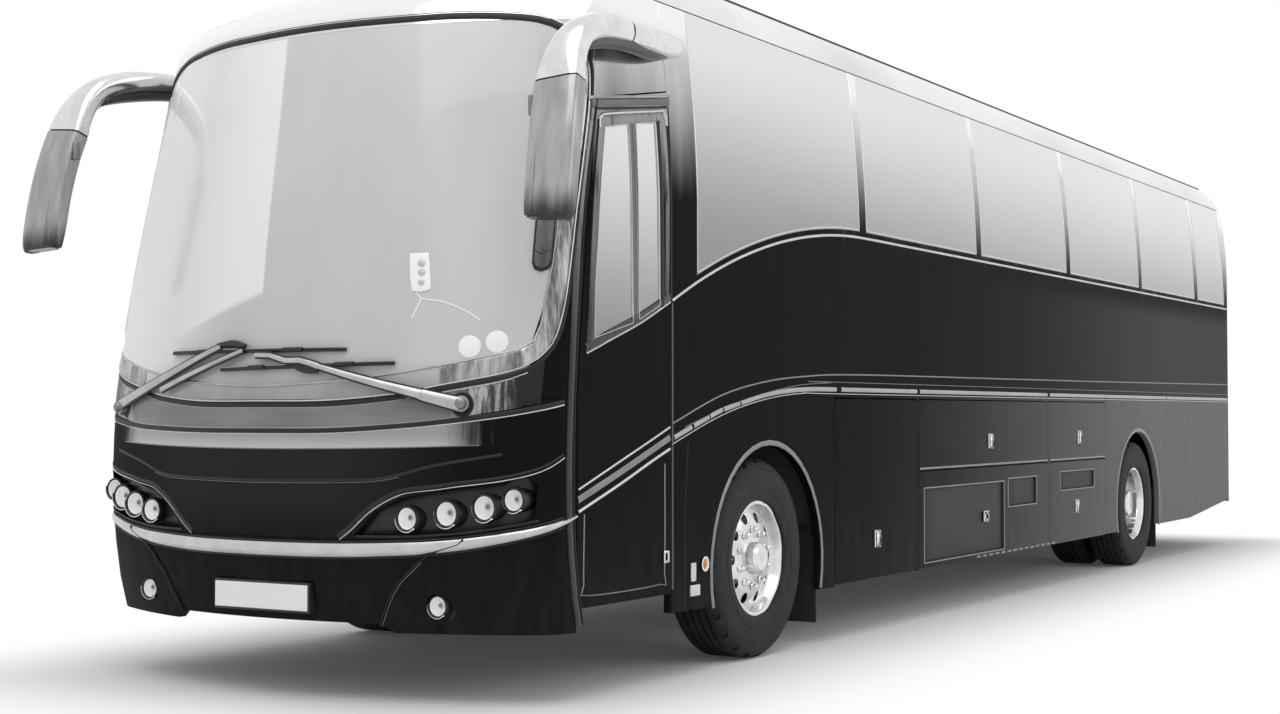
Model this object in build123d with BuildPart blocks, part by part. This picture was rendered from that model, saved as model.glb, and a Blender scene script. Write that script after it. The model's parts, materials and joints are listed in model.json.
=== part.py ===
from build123d import *
from math import sqrt, sin, cos, radians
import os

os.makedirs("parts", exist_ok=True)

# A twelve metre two-axle touring coach, in millimetres.
# +Z is up, the front faces -Y and +X is the door side. The ground is z = 0.

# overall sizes
body_length = 12280.0
body_half_width = 1275.0
roof_z = 3410.0
wheelbase = 6700.0
front_overhang = 2340.0
front_y = -body_length / 2
rear_y = body_length / 2
front_axle_y = front_y + front_overhang
rear_axle_y = front_axle_y + wheelbase

# skin and gaps
shell_thickness = 45.0
glass_thickness = 12.0
panel_gap = 0.5
door_gap = 6.0
touch_gap = 0.3
moving_gap = 5.0

# plan radii of the front and the tail
front_radius = 2400.0
corner_radius = 230.0
tail_radius = 8000.0
tail_corner_radius = 160.0

# levels
skirt_bottom_z = 290.0
skirt_top_z = 1345.0
upper_locker_top_z = 1310.0
upper_locker_bottom_z = 890.0
belt_z = 2245.0
window_top_z = 3150.0
bumper_bottom_z = 340.0
bumper_corner_bottom_z = 302.0
bumper_top_z = 700.0
screen_bottom_z = 1290.0
screen_top_z = 2950.0
cabin_floor_top_z = 1290.0
cabin_floor_thickness = 50.0
driver_floor_top_z = 980.0

# front and tail stations: level, set-back of the nose, set-back of the tail
stations = [
    (250.0, 115.0, 0.0),
    (450.0, 55.0, 0.0),
    (625.0, 24.0, 0.0),
    (790.0, 6.0, 0.0),
    (950.0, 0.0, 0.0),
    (1120.0, 6.0, 0.0),
    (1290.0, 18.0, 0.0),
    (1480.0, 48.0, 0.0),
    (1680.0, 90.0, 0.0),
    (1900.0, 138.0, 0.0),
    (2120.0, 192.0, 0.0),
    (2340.0, 250.0, 0.0),
    (2560.0, 310.0, 0.0),
    (2760.0, 358.0, 4.0),
    (2940.0, 402.0, 14.0),
    (3020.0, 434.0, 30.0),
    (3090.0, 490.0, 64.0),
    (3150.0, 575.0, 120.0),
    (3205.0, 700.0, 205.0),
    (3255.0, 865.0, 320.0),
    (3300.0, 1075.0, 470.0),
    (3340.0, 1340.0, 660.0),
    (3375.0, 1680.0, 900.0),
    (3400.0, 2080.0, 1180.0),
    (3430.0, 2900.0, 1750.0),
]

# wheels
tyre_radius = 500.0
tyre_width = 290.0
bead_radius = 288.0
rim_flange_radius = 302.0
front_track_half = 1112.0
twin_outer_half = 1112.0
twin_spacing = 335.0
kingpin_half = 880.0
kingpin_radius = 26.0
stub_radius = 48.0
hub_radius = 82.0
running_gap = 0.3
hand_hole_radius = 27.0
hand_hole_count = 10
front_arch_radius = 605.0
front_arch_y = front_axle_y + 60.0
front_arch_z = 460.0
rear_arch_radius = 600.0
rear_arch_y = rear_axle_y
rear_arch_z = 480.0

# doorway, on the +X side
door_front_y = front_axle_y - 1755.0
door_rear_y = front_axle_y - 950.0
door_bottom_z = 400.0
door_top_front_z = 2600.0
# front edge of the doorway: level and set-back from its foremost line, leaning with the screen
door_front_line = [
    (300.0, 0.0),
    (1290.0, 0.0),
    (1700.0, 40.0),
    (2120.0, 98.0),
    (2600.0, 165.0),
    (2960.0, 215.0),
]
door_top_rear_z = 2720.0
door_arm_length = 450.0
door_post_setback = 90.0
door_arm_z = 1010.0
door_pin_radius = 12.0
door_sleeve_half = 24.0

# window pane edges along each side, measured from the front axle
pane_edges = [
    (-700.0, 1187.0),
    (1277.0, 3030.0),
    (3120.0, 4875.0),
    (4965.0, 6745.0),
    (6835.0, 8515.0),
    (8625.0, 9600.0),
]
pane_frame = 55.0
belt_arc_start = 1250.0
belt_arc_radius = 5400.0

# locker doors on the +X side: front and rear edge from the front axle, lower and upper edge
locker_bottom_z = 300.0
lockers = {
    "locker_a": (850.0, 2000.0, locker_bottom_z, upper_locker_top_z),
    "locker_b": (2050.0, 4420.0, upper_locker_bottom_z, upper_locker_top_z),
    "locker_c": (4465.0, 5790.0, upper_locker_bottom_z, upper_locker_top_z),
    "locker_d": (4465.0, 5790.0, locker_bottom_z, upper_locker_bottom_z - 10.0),
    "locker_e": (2050.0, 4420.0, locker_bottom_z, upper_locker_bottom_z - 10.0),
}
# locker doors on the -X side
right_lockers = {
    "locker_r1": (850.0, 3290.0, locker_bottom_z, upper_locker_top_z),
    "locker_r2": (3340.0, 5790.0, locker_bottom_z, upper_locker_top_z),
}
locker_thickness = 35.0
locker_frame_lap = 30.0
locker_frame_thickness = 30.0
bay_front = 800.0
bay_rear = 5850.0
bay_floor_z = 330.0

# engine lid
engine_lid_half_width = 820.0
engine_lid_bottom_z = 780.0
engine_lid_top_z = 1480.0
rear_window_half_width = 980.0
rear_window_bottom_z = 2150.0
rear_window_top_z = 2900.0
rear_wall_depth = 235.0
rear_bumper_top_z = 690.0
rear_bumper_bottom_z = 400.0
rear_plate_z = 560.0
rear_plate_recess = 12.0

# seats
seat_rows = 12
seat_pitch = 770.0
first_seat_y = front_axle_y + 120.0
seat_pair_width = 900.0
seat_inner_x = 255.0


def plan_outline(nose_y, tail_y, inset):
    """Closed plan outline with an arched nose, an arched tail and rounded corners."""
    half = body_half_width - inset
    nose_r = front_radius - inset
    nose_c = corner_radius - inset
    tail_r = tail_radius - inset
    tail_c = tail_corner_radius - inset
    nose = nose_y + inset
    tail = tail_y - inset
    nose_cx = half - nose_c
    nose_cy = nose + nose_r - sqrt((nose_r - nose_c) ** 2 - nose_cx ** 2)
    nose_k = nose_r / (nose_r - nose_c)
    nose_tx = nose_cx * nose_k
    nose_ty = nose + nose_r + (nose_cy - nose - nose_r) * nose_k
    tail_cx = half - tail_c
    tail_cy = tail - tail_r + sqrt((tail_r - tail_c) ** 2 - tail_cx ** 2)
    tail_k = tail_r / (tail_r - tail_c)
    tail_tx = tail_cx * tail_k
    tail_ty = tail - tail_r + (tail_cy - tail + tail_r) * tail_k
    nose_tan = ((nose + nose_r - nose_ty) / nose_r, nose_tx / nose_r)
    with BuildLine() as outline:
        ThreePointArc((-nose_tx, nose_ty), (0, nose), (nose_tx, nose_ty))
        TangentArc((nose_tx, nose_ty), (half, nose_cy), tangent=nose_tan)
        Line((half, nose_cy), (half, tail_cy))
        TangentArc((half, tail_cy), (tail_tx, tail_ty), tangent=(0, 1))
        ThreePointArc((tail_tx, tail_ty), (0, tail), (-tail_tx, tail_ty))
        TangentArc((-half, tail_cy), (-tail_tx, tail_ty), tangent=(0, 1))
        Line((-half, tail_cy), (-half, nose_cy))
        TangentArc((-half, nose_cy), (-nose_tx, nose_ty), tangent=(0, -1))
    return outline.line


def cross_section(inset):
    """Body section across the coach: upright to the belt, then leaning in to a cove and a crown."""
    half = body_half_width - inset
    top = roof_z - inset
    with BuildLine() as section:
        Line((-half, 0), (half, 0))
        Line((half, 0), (half, belt_z))
        ThreePointArc((half, belt_z), (half - 25, belt_z + 470), (half - 75, window_top_z))
        ThreePointArc((half - 75, window_top_z), (half - 125, top - 130), (half - 225, top - 50))
        ThreePointArc((half - 225, top - 50), (0, top), (-half + 225, top - 50))
        ThreePointArc((-half + 225, top - 50), (-half + 125, top - 130), (-half + 75, window_top_z))
        ThreePointArc((-half + 75, window_top_z), (-half + 25, belt_z + 470), (-half, belt_z))
        Line((-half, belt_z), (-half, 0))
    return section.line


def envelope(inset):
    """Solid body form, drawn in by inset all round but open to the ground."""
    with BuildPart() as form:
        for level, nose_set, tail_set in stations:
            drop = inset if level > screen_top_z else 0.0
            with BuildSketch(Plane.XY.offset(level - drop)):
                add(plan_outline(front_y + nose_set, rear_y - tail_set, inset))
                make_face()
        loft(ruled=True)
        with BuildSketch(Plane.XZ.offset(-rear_y - 500)):
            add(cross_section(inset))
            make_face()
        extrude(amount=body_length + 1000, mode=Mode.INTERSECT)
    return form.part


def belt_height(y_from_axle):
    """Lower edge of the side glass, flat at the back and swooping down to the door."""
    run = belt_arc_start - y_from_axle
    if run <= 0:
        return belt_z
    return belt_z - belt_arc_radius + sqrt(belt_arc_radius ** 2 - run ** 2)


cap_rear_y = door_rear_y
tail_cut_y = rear_y - rear_wall_depth + panel_gap


def skin_between(inset, low_y, high_y):
    """Body skin down to an inset, kept between two stations along the coach."""
    with BuildPart() as kept:
        add(outer_form)
        add(inner_form if inset == shell_thickness else glass_form, mode=Mode.SUBTRACT)
        with Locations((0, (low_y + high_y) / 2, roof_z / 2)):
            Box(3000, high_y - low_y, roof_z + 1000, mode=Mode.INTERSECT)
    return kept.part


def side_skin(inset):
    """Skin of the straight run of the body, between the doorway and the tail."""
    start = door_rear_y
    end = tail_cut_y - panel_gap
    with BuildPart() as run:
        with BuildSketch(Plane.XZ.offset(-start)):
            add(cross_section(0))
            make_face()
        extrude(amount=start - end)
        with BuildSketch(Plane.XZ.offset(-start + 10)):
            add(cross_section(inset))
            make_face()
        extrude(amount=start - end - 20, mode=Mode.SUBTRACT)
    return run.part


inner_half = body_half_width - shell_thickness
floor_bottom_z = cabin_floor_top_z - cabin_floor_thickness
riser_y = front_axle_y - 700.0
post_x = inner_half - 52.0
post_y = door_front_y + door_post_setback
outer_form = envelope(0)
glass_form = envelope(glass_thickness)
inner_form = envelope(shell_thickness)
nose_skin = skin_between(shell_thickness, front_y - 200, cap_rear_y)
nose_outer_skin = skin_between(glass_thickness, front_y - 200, cap_rear_y)
nose_cab_skin = skin_between(shell_thickness, front_y - 200, cap_rear_y + door_gap)
tail_skin = skin_between(shell_thickness, tail_cut_y, rear_y + 200)
tail_outer_skin = skin_between(glass_thickness, tail_cut_y, rear_y + 200)
mid_skin = side_skin(shell_thickness)
mid_outer_skin = side_skin(glass_thickness)


def door_front(z):
    """Row position of the doorway's front edge at a level."""
    for first, second in zip(door_front_line, door_front_line[1:]):
        if z <= second[0]:
            share = (z - first[0]) / (second[0] - first[0])
            return door_front_y + first[1] + share * (second[1] - first[1])
    return door_front_y + door_front_line[-1][1]


def ya(y_from_axle):
    """Row position of a place measured back from the front axle."""
    return front_axle_y + y_from_axle


# curve along which the upper side and the skirt part
split_front_z = 1085.0
split_points = [
    (ya(-950), split_front_z),
    (ya(-50), 1302.0),
    (ya(850), skirt_top_z),
]


# ---------------------------------------------------------------- side walls
def side_wall(side, front):
    """Band between the skirt and the side glass, with the swooping belt."""
    with BuildPart() as wall:
        add(mid_skin)
        with BuildSketch(Plane.YZ):
            with BuildLine():
                Line((ya(front), split_front_z), (ya(front), belt_height(front)))
                ThreePointArc(
                    (ya(front), belt_height(front)),
                    (ya(150), belt_height(150)),
                    (ya(belt_arc_start), belt_z),
                )
                Line((ya(belt_arc_start), belt_z), (rear_y - rear_wall_depth, belt_z))
                Line((rear_y - rear_wall_depth, belt_z), (rear_y - rear_wall_depth, skirt_top_z))
                Line((rear_y - rear_wall_depth, skirt_top_z), split_points[2])
                ThreePointArc(split_points[2], split_points[1], (ya(front), split_front_z))
            make_face()
        extrude(amount=side * (body_half_width + 400), mode=Mode.INTERSECT)
    return wall.part


side_front = -950.0 + door_gap
# ---------------------------------------------------------------- skirts
def skirt(side, doors):
    """Lower side panels round the wheel arches and the locker doors."""
    tail = rear_y - rear_wall_depth
    with BuildPart() as panels:
        add(mid_skin)
        with BuildSketch(Plane.YZ):
            with BuildLine():
                Line((ya(side_front), skirt_bottom_z + 20), (ya(side_front), split_front_z - panel_gap))
                ThreePointArc(
                    (ya(side_front), split_front_z - panel_gap),
                    (split_points[1][0], split_points[1][1] - panel_gap),
                    (split_points[2][0], split_points[2][1] - panel_gap),
                )
                Line((split_points[2][0], skirt_top_z - panel_gap), (tail, skirt_top_z - panel_gap))
                Line((tail, skirt_top_z - panel_gap), (tail, skirt_bottom_z + 130))
                Line((tail, skirt_bottom_z + 130), (rear_arch_y + 1600, skirt_bottom_z + 20))
                Line((rear_arch_y + 1600, skirt_bottom_z + 20), (ya(850), skirt_bottom_z))
                Line((ya(850), skirt_bottom_z), (ya(side_front), skirt_bottom_z + 20))
            make_face()
        extrude(amount=side * (body_half_width + 400), mode=Mode.INTERSECT)
        with BuildSketch(Plane.YZ):
            with Locations((front_arch_y, front_arch_z)):
                Circle(front_arch_radius)
            with Locations((front_arch_y, front_arch_z - 300)):
                Rectangle(2 * front_arch_radius - 16, 600)
            with Locations((rear_arch_y, rear_arch_z)):
                Circle(rear_arch_radius)
            with Locations((rear_arch_y, rear_arch_z - 300)):
                Rectangle(2 * rear_arch_radius - 16, 600)
        extrude(amount=side * (body_half_width + 400), mode=Mode.SUBTRACT)
        for start, end, low, high in doors.values():
            with BuildSketch(Plane.YZ):
                with Locations((ya((start + end) / 2), (low + high) / 2 - 20)):
                    Rectangle(end - start + 2 * door_gap, high - low + 2 * door_gap + 40)
            extrude(amount=side * (body_half_width + 400), mode=Mode.SUBTRACT)
    return panels.part


with BuildPart() as skirt_left:
    add(skirt(1, lockers))
skirt_left.part.label = "skirt_left"
export_step(skirt_left.part, "parts/skirt_left.step")

with BuildPart() as skirt_right:
    add(skirt(-1, right_lockers))
skirt_right.part.label = "skirt_right"
export_step(skirt_right.part, "parts/skirt_right.step")


# ---------------------------------------------------------------- locker doors
def locker_panel(side, start, end, low, high):
    """Flat locker door with rounded corners."""
    with BuildPart() as panel:
        with BuildSketch(Plane.YZ.offset(side * body_half_width)):
            with Locations((ya((start + end) / 2), (low + high) / 2)):
                RectangleRounded(end - start, high - low, 25)
        extrude(amount=-side * locker_thickness)
    return panel.part


def louvred(panel, side, start, end, low, high):
    """Opening with level slats, cut in a locker door."""
    with BuildPart() as result:
        add(panel)
        with BuildSketch(Plane.YZ.offset(side * body_half_width)):
            with Locations((ya((start + end) / 2), (low + high) / 2)):
                RectangleRounded(end - start, high - low, 18)
        extrude(amount=-side * (locker_thickness - 8), mode=Mode.SUBTRACT)
        slat_count = int((high - low) / 42)
        step = (high - low) / slat_count
        with BuildSketch(Plane.YZ.offset(side * (body_half_width - locker_thickness + 8))):
            with Locations((ya((start + end) / 2), (low + high) / 2)):
                with GridLocations(10, step, 1, slat_count):
                    Rectangle(end - start, step * 0.42)
        extrude(amount=side * 14)
    return result.part


for locker_name, (start, end, low, high) in lockers.items():
    door_solid = locker_panel(1, start, end, low, high)
    if locker_name == "locker_e":
        door_solid = louvred(door_solid, 1, start + 70, start + 1470, low + 30, high - 100)
        door_solid = louvred(door_solid, 1, start + 1550, start + 2130, high - 275, high - 85)
    if locker_name == "locker_d":
        door_solid = louvred(door_solid, 1, start + 230, start + 1040, high - 205, high - 70)
    with BuildPart() as locker:
        add(door_solid)
    locker.part.label = locker_name
    export_step(locker.part, "parts/" + locker_name + ".step")

for locker_name, (start, end, low, high) in right_lockers.items():
    with BuildPart() as locker:
        add(locker_panel(-1, start, end, low, high))
    locker.part.label = locker_name
    export_step(locker.part, "parts/" + locker_name + ".step")


# frames behind the locker doors, hung from the cabin floor
frame_inner_x = inner_half - locker_frame_thickness


def locker_frame(side, doors):
    """Jambs and rails that the locker doors close on, with a raised seal round each opening."""
    with BuildPart() as frame:
        with BuildSketch(Plane.YZ.offset(side * inner_half)):
            with Locations((ya((bay_front + bay_rear) / 2), (bay_floor_z + floor_bottom_z) / 2)):
                Rectangle(bay_rear - bay_front, floor_bottom_z - bay_floor_z)
            for start, end, low, high in doors.values():
                hole_low = max(low + locker_frame_lap, bay_floor_z + 40)
                hole_high = min(high - locker_frame_lap, floor_bottom_z - 40)
                with Locations((ya((start + end) / 2), (hole_low + hole_high) / 2)):
                    Rectangle(end - start - 2 * locker_frame_lap, hole_high - hole_low, mode=Mode.SUBTRACT)
        extrude(amount=-side * locker_frame_thickness)
        with BuildSketch(Plane.YZ.offset(side * inner_half)):
            for start, end, low, high in doors.values():
                hole_low = max(low + locker_frame_lap, bay_floor_z + 40)
                hole_high = min(high - locker_frame_lap, floor_bottom_z - 40)
                with Locations((ya((start + end) / 2), (hole_low + hole_high) / 2)):
                    Rectangle(end - start - 2 * locker_frame_lap + 24, hole_high - hole_low + 24)
                    Rectangle(end - start - 2 * locker_frame_lap, hole_high - hole_low, mode=Mode.SUBTRACT)
        extrude(amount=side * (shell_thickness - locker_thickness - touch_gap))
    return frame.part


with BuildPart() as locker_frames:
    add(locker_frame(1, lockers))
    add(locker_frame(-1, right_lockers))
locker_frames.part.label = "locker_frames"
export_step(locker_frames.part, "parts/locker_frames.step")


# ---------------------------------------------------------------- cabin floor and luggage bay
step_inner_x = 300.0
driver_floor_front_y = front_y + 540.0
with BuildPart() as cabin_floor:
    with BuildSketch(Plane.XY.offset(floor_bottom_z)):
        with Locations((0, (riser_y + rear_y - rear_wall_depth) / 2)):
            Rectangle(2 * inner_half, rear_y - rear_wall_depth - riser_y)
    extrude(amount=cabin_floor_thickness)
    # raised platform for the driver, from the nose back to the riser
    with BuildSketch(Plane.XY.offset(driver_floor_top_z - cabin_floor_thickness)):
        with Locations(((step_inner_x - inner_half) / 2, (driver_floor_front_y + riser_y) / 2)):
            Rectangle(inner_half + step_inner_x, riser_y - driver_floor_front_y)
    extrude(amount=cabin_floor_thickness)
    with BuildSketch(Plane.XZ.offset(-riser_y)):
        with Locations((0, (driver_floor_top_z - cabin_floor_thickness + cabin_floor_top_z) / 2)):
            Rectangle(2 * inner_half, cabin_floor_top_z - driver_floor_top_z + cabin_floor_thickness)
    extrude(amount=-30)
cabin_floor.part.label = "cabin_floor"
export_step(cabin_floor.part, "parts/cabin_floor.step")

step_heights = [430.0, 650.0, 870.0]
with BuildPart() as entry_steps:
    with BuildSketch(Plane.XZ.offset(-riser_y)):
        with BuildLine():
            Polyline(
                (inner_half - 10, step_heights[0]),
                (inner_half - 280, step_heights[0]),
                (inner_half - 280, step_heights[1]),
                (inner_half - 530, step_heights[1]),
                (inner_half - 530, step_heights[2]),
                (inner_half - 780, step_heights[2]),
                (inner_half - 780, driver_floor_top_z),
                (step_inner_x, driver_floor_top_z),
                (step_inner_x, step_heights[1] - 40),
                (inner_half - 560, step_heights[1] - 40),
                (inner_half - 560, step_heights[0] - 40),
                (inner_half - 10, step_heights[0] - 40),
                close=True,
            )
        make_face()
    extrude(amount=riser_y - door_front_y - 5)
    # fixed post at the front of the doorway, carrying the door arm
    with BuildSketch(Plane.XY.offset(step_heights[0])):
        with Locations((post_x, post_y)):
            Circle(door_pin_radius)
    extrude(amount=door_arm_z + 200 - step_heights[0])
    with BuildSketch(Plane.XY.offset(step_heights[0])):
        with Locations((post_x, post_y)):
            Circle(22)
    extrude(amount=door_arm_z - door_sleeve_half - moving_gap - step_heights[0])
    with BuildSketch(Plane.XY.offset(door_arm_z + door_sleeve_half + moving_gap)):
        with Locations((post_x, post_y)):
            Circle(22)
    extrude(amount=200)
entry_steps.part.label = "entry_steps"
export_step(entry_steps.part, "parts/entry_steps.step")

with BuildPart() as luggage_bay:
    with BuildSketch(Plane.XY.offset(bay_floor_z - 30)):
        with Locations((0, ya((bay_front + bay_rear) / 2))):
            Rectangle(2 * frame_inner_x, bay_rear - bay_front)
    extrude(amount=30)
    with BuildSketch(Plane.XY.offset(bay_floor_z)):
        with Locations((0, ya(bay_front + 15)), (0, ya(bay_rear - 15)), (0, ya(4440))):
            Rectangle(2 * frame_inner_x, 30)
    extrude(amount=floor_bottom_z - bay_floor_z)
luggage_bay.part.label = "luggage_bay"
export_step(luggage_bay.part, "parts/luggage_bay.step")

# ---------------------------------------------------------------- underframe
rail_x = 430.0
rail_width = 80.0
rail_bottom_z = 640.0
rail_top_z = 800.0
nose_rail_y = front_y + 420.0
left_rail_y = riser_y + 40.0
jacking_pad_width = 110.0
jacking_pad_depth = 15.0
jacking_pad_front_y = ya(600)
jacking_pad_rear_y = ya(6100)
with BuildPart() as underframe:
    # front rails: the full one on the driver's side, a short one behind the steps
    for rail_side, rail_start, rail_end in (
        (-1, nose_rail_y, ya(bay_front)),
        (1, left_rail_y, ya(bay_front)),
        (-1, ya(bay_rear), rear_y - 330),
        (1, ya(bay_rear), rear_y - 330),
    ):
        with BuildSketch(Plane.XY.offset(rail_bottom_z)):
            with Locations((rail_side * rail_x, (rail_start + rail_end) / 2)):
                Rectangle(rail_width, rail_end - rail_start)
        extrude(amount=rail_top_z - rail_bottom_z)
    with BuildSketch(Plane.XY.offset(rail_bottom_z)):
        with Locations((-rail_x / 2 + 60, nose_rail_y + 40)):
            Rectangle(rail_x + 120, 80)
        for cross_y in (left_rail_y + 40, ya(bay_front) - 40, ya(bay_rear) + 40, rear_y - 370):
            with Locations((0, cross_y)):
                Rectangle(2 * rail_x, 80)
    extrude(amount=rail_top_z - rail_bottom_z)
    # posts from the rails to the cabin floor
    with BuildSketch(Plane.XY.offset(rail_top_z)):
        for post_row_y in (ya(-600), ya(740), ya(5950), ya(7500), ya(9000)):
            with Locations((-rail_x, post_row_y), (rail_x, post_row_y)):
                Rectangle(rail_width, rail_width)
    extrude(amount=floor_bottom_z - rail_top_z)
    # jacking pads under the driver's side rail, behind the front axle and ahead of the rear one
    with BuildSketch(Plane.XY.offset(rail_bottom_z - jacking_pad_depth)):
        with Locations((-rail_x, jacking_pad_front_y), (-rail_x, jacking_pad_rear_y)):
            Rectangle(jacking_pad_width, jacking_pad_width)
    extrude(amount=jacking_pad_depth + 10)
    # brackets that carry the driver's platform
    with BuildSketch(Plane.XY.offset(rail_top_z)):
        for bracket_y in (nose_rail_y + 130, riser_y - 200):
            with Locations((-rail_x, bracket_y)):
                Rectangle(rail_width, rail_width)
    extrude(amount=driver_floor_top_z - cabin_floor_thickness - rail_top_z)
    # cross ribs to the side walls, ahead of and behind the wheels
    with BuildSketch(Plane.XY.offset(floor_bottom_z - 60)):
        for rib_y in (ya(740), ya(5950), ya(7500), ya(9000)):
            with Locations((0, rib_y)):
                Rectangle(2 * inner_half, 60)
    extrude(amount=60)
underframe.part.label = "underframe"
export_step(underframe.part, "parts/underframe.step")

# ---------------------------------------------------------------- axles
axle_z = tyre_radius
eye_half_height = 70.0
with BuildPart() as front_axle:
    with BuildSketch(Plane.YZ.offset(-kingpin_half + 75)):
        with Locations((front_axle_y, axle_z - 90)):
            Rectangle(110, 110)
    extrude(amount=2 * kingpin_half - 150)
    with BuildSketch(Plane.XY.offset(axle_z - eye_half_height)):
        with Locations((kingpin_half, front_axle_y), (-kingpin_half, front_axle_y)):
            Circle(60)
        with Locations((kingpin_half - 70, front_axle_y), (-kingpin_half + 70, front_axle_y)):
            Rectangle(70, 100)
    extrude(amount=2 * eye_half_height)
    with BuildSketch(Plane.XY.offset(axle_z - 145)):
        with Locations((kingpin_half - 90, front_axle_y), (-kingpin_half + 90, front_axle_y)):
            Rectangle(30, 110)
    extrude(amount=150)
    with BuildSketch(Plane.XY.offset(axle_z - eye_half_height)):
        with Locations((kingpin_half, front_axle_y), (-kingpin_half, front_axle_y)):
            Circle(kingpin_radius + running_gap / 5)
    extrude(amount=2 * eye_half_height, mode=Mode.SUBTRACT)
    with BuildSketch(Plane.XY.offset(axle_z - 40)):
        with Locations((rail_x, front_axle_y), (-rail_x, front_axle_y)):
            Circle(70)
    extrude(amount=rail_bottom_z - axle_z + 40)
front_axle.part.label = "front_axle"
export_step(front_axle.part, "parts/front_axle.step")

spindle_end = twin_outer_half + 40.0
rear_spindle_radius = 70.0
with BuildPart() as rear_axle:
    with BuildSketch(Plane.YZ.offset(-twin_outer_half + twin_spacing + 170)):
        with Locations((rear_axle_y, axle_z)):
            Circle(95)
    extrude(amount=2 * (twin_outer_half - twin_spacing - 170))
    with BuildSketch(Plane.YZ.offset(-spindle_end)):
        with Locations((rear_axle_y, axle_z)):
            Circle(rear_spindle_radius)
    extrude(amount=2 * spindle_end)
    with Locations((0, rear_axle_y, axle_z)):
        Sphere(210)
    with BuildSketch(Plane.XY.offset(axle_z)):
        with Locations((rail_x, rear_axle_y), (-rail_x, rear_axle_y)):
            Circle(75)
    extrude(amount=rail_bottom_z - axle_z)
rear_axle.part.label = "rear_axle"
export_step(rear_axle.part, "parts/rear_axle.step")


# steering knuckles: kingpin, two lugs, a web and the stub axle
def knuckle(side):
    """Steering knuckle with its kingpin through the axle eye."""
    kx = side * kingpin_half
    lug = eye_half_height + moving_gap
    with BuildPart() as fork:
        with BuildSketch(Plane.XY.offset(axle_z - lug - 35)):
            with Locations((kx, front_axle_y)):
                Circle(kingpin_radius)
        extrude(amount=2 * lug + 70)
        for lug_z in (axle_z + lug, axle_z - lug - 35):
            with BuildSketch(Plane.XY.offset(lug_z)):
                with Locations((kx, front_axle_y)):
                    Circle(50)
                with Locations((kx + side * 45, front_axle_y)):
                    Rectangle(90, 90)
            extrude(amount=35)
        with BuildSketch(Plane.XY.offset(axle_z - lug - 35)):
            with Locations((kx + side * 79, front_axle_y)):
                Rectangle(22, 90)
        extrude(amount=2 * lug + 70)
        with BuildSketch(Plane.YZ.offset(kx + side * 85)):
            with Locations((front_axle_y, axle_z)):
                Circle(stub_radius)
        extrude(amount=side * (front_track_half + 30 - kingpin_half - 85))
    return fork.part


with BuildPart() as knuckle_left:
    add(knuckle(1))
knuckle_left.part.label = "knuckle_left"
export_step(knuckle_left.part, "parts/knuckle_left.step")

with BuildPart() as knuckle_right:
    add(knuckle(-1))
knuckle_right.part.label = "knuckle_right"
export_step(knuckle_right.part, "parts/knuckle_right.step")


# ---------------------------------------------------------------- tyres and rims
def tyre(centre_x, centre_y):
    """Plain tyre with rounded shoulders and full side walls."""
    half = tyre_width / 2
    with BuildPart() as ring:
        with BuildSketch(Plane.XZ.offset(-centre_y)):
            with BuildLine():
                Polyline(
                    (centre_x - half + 32, axle_z + bead_radius),
                    (centre_x + half - 32, axle_z + bead_radius),
                    (centre_x + half - 32, axle_z + rim_flange_radius),
                    (centre_x + half - 22, axle_z + rim_flange_radius + 1),
                    (centre_x + half - 6, axle_z + bead_radius + 45),
                    (centre_x + half, axle_z + bead_radius + 105),
                    (centre_x + half - 8, axle_z + tyre_radius - 45),
                    (centre_x + half - 30, axle_z + tyre_radius - 10),
                    (centre_x + half - 50, axle_z + tyre_radius),
                    (centre_x - half + 50, axle_z + tyre_radius),
                    (centre_x - half + 30, axle_z + tyre_radius - 10),
                    (centre_x - half + 8, axle_z + tyre_radius - 45),
                    (centre_x - half, axle_z + bead_radius + 105),
                    (centre_x - half + 6, axle_z + bead_radius + 45),
                    (centre_x - half + 22, axle_z + rim_flange_radius + 1),
                    (centre_x - half + 32, axle_z + rim_flange_radius),
                    close=True,
                )
            make_face()
        revolve(axis=Axis((0, centre_y, axle_z), (1, 0, 0)))
    return ring.part


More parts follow.
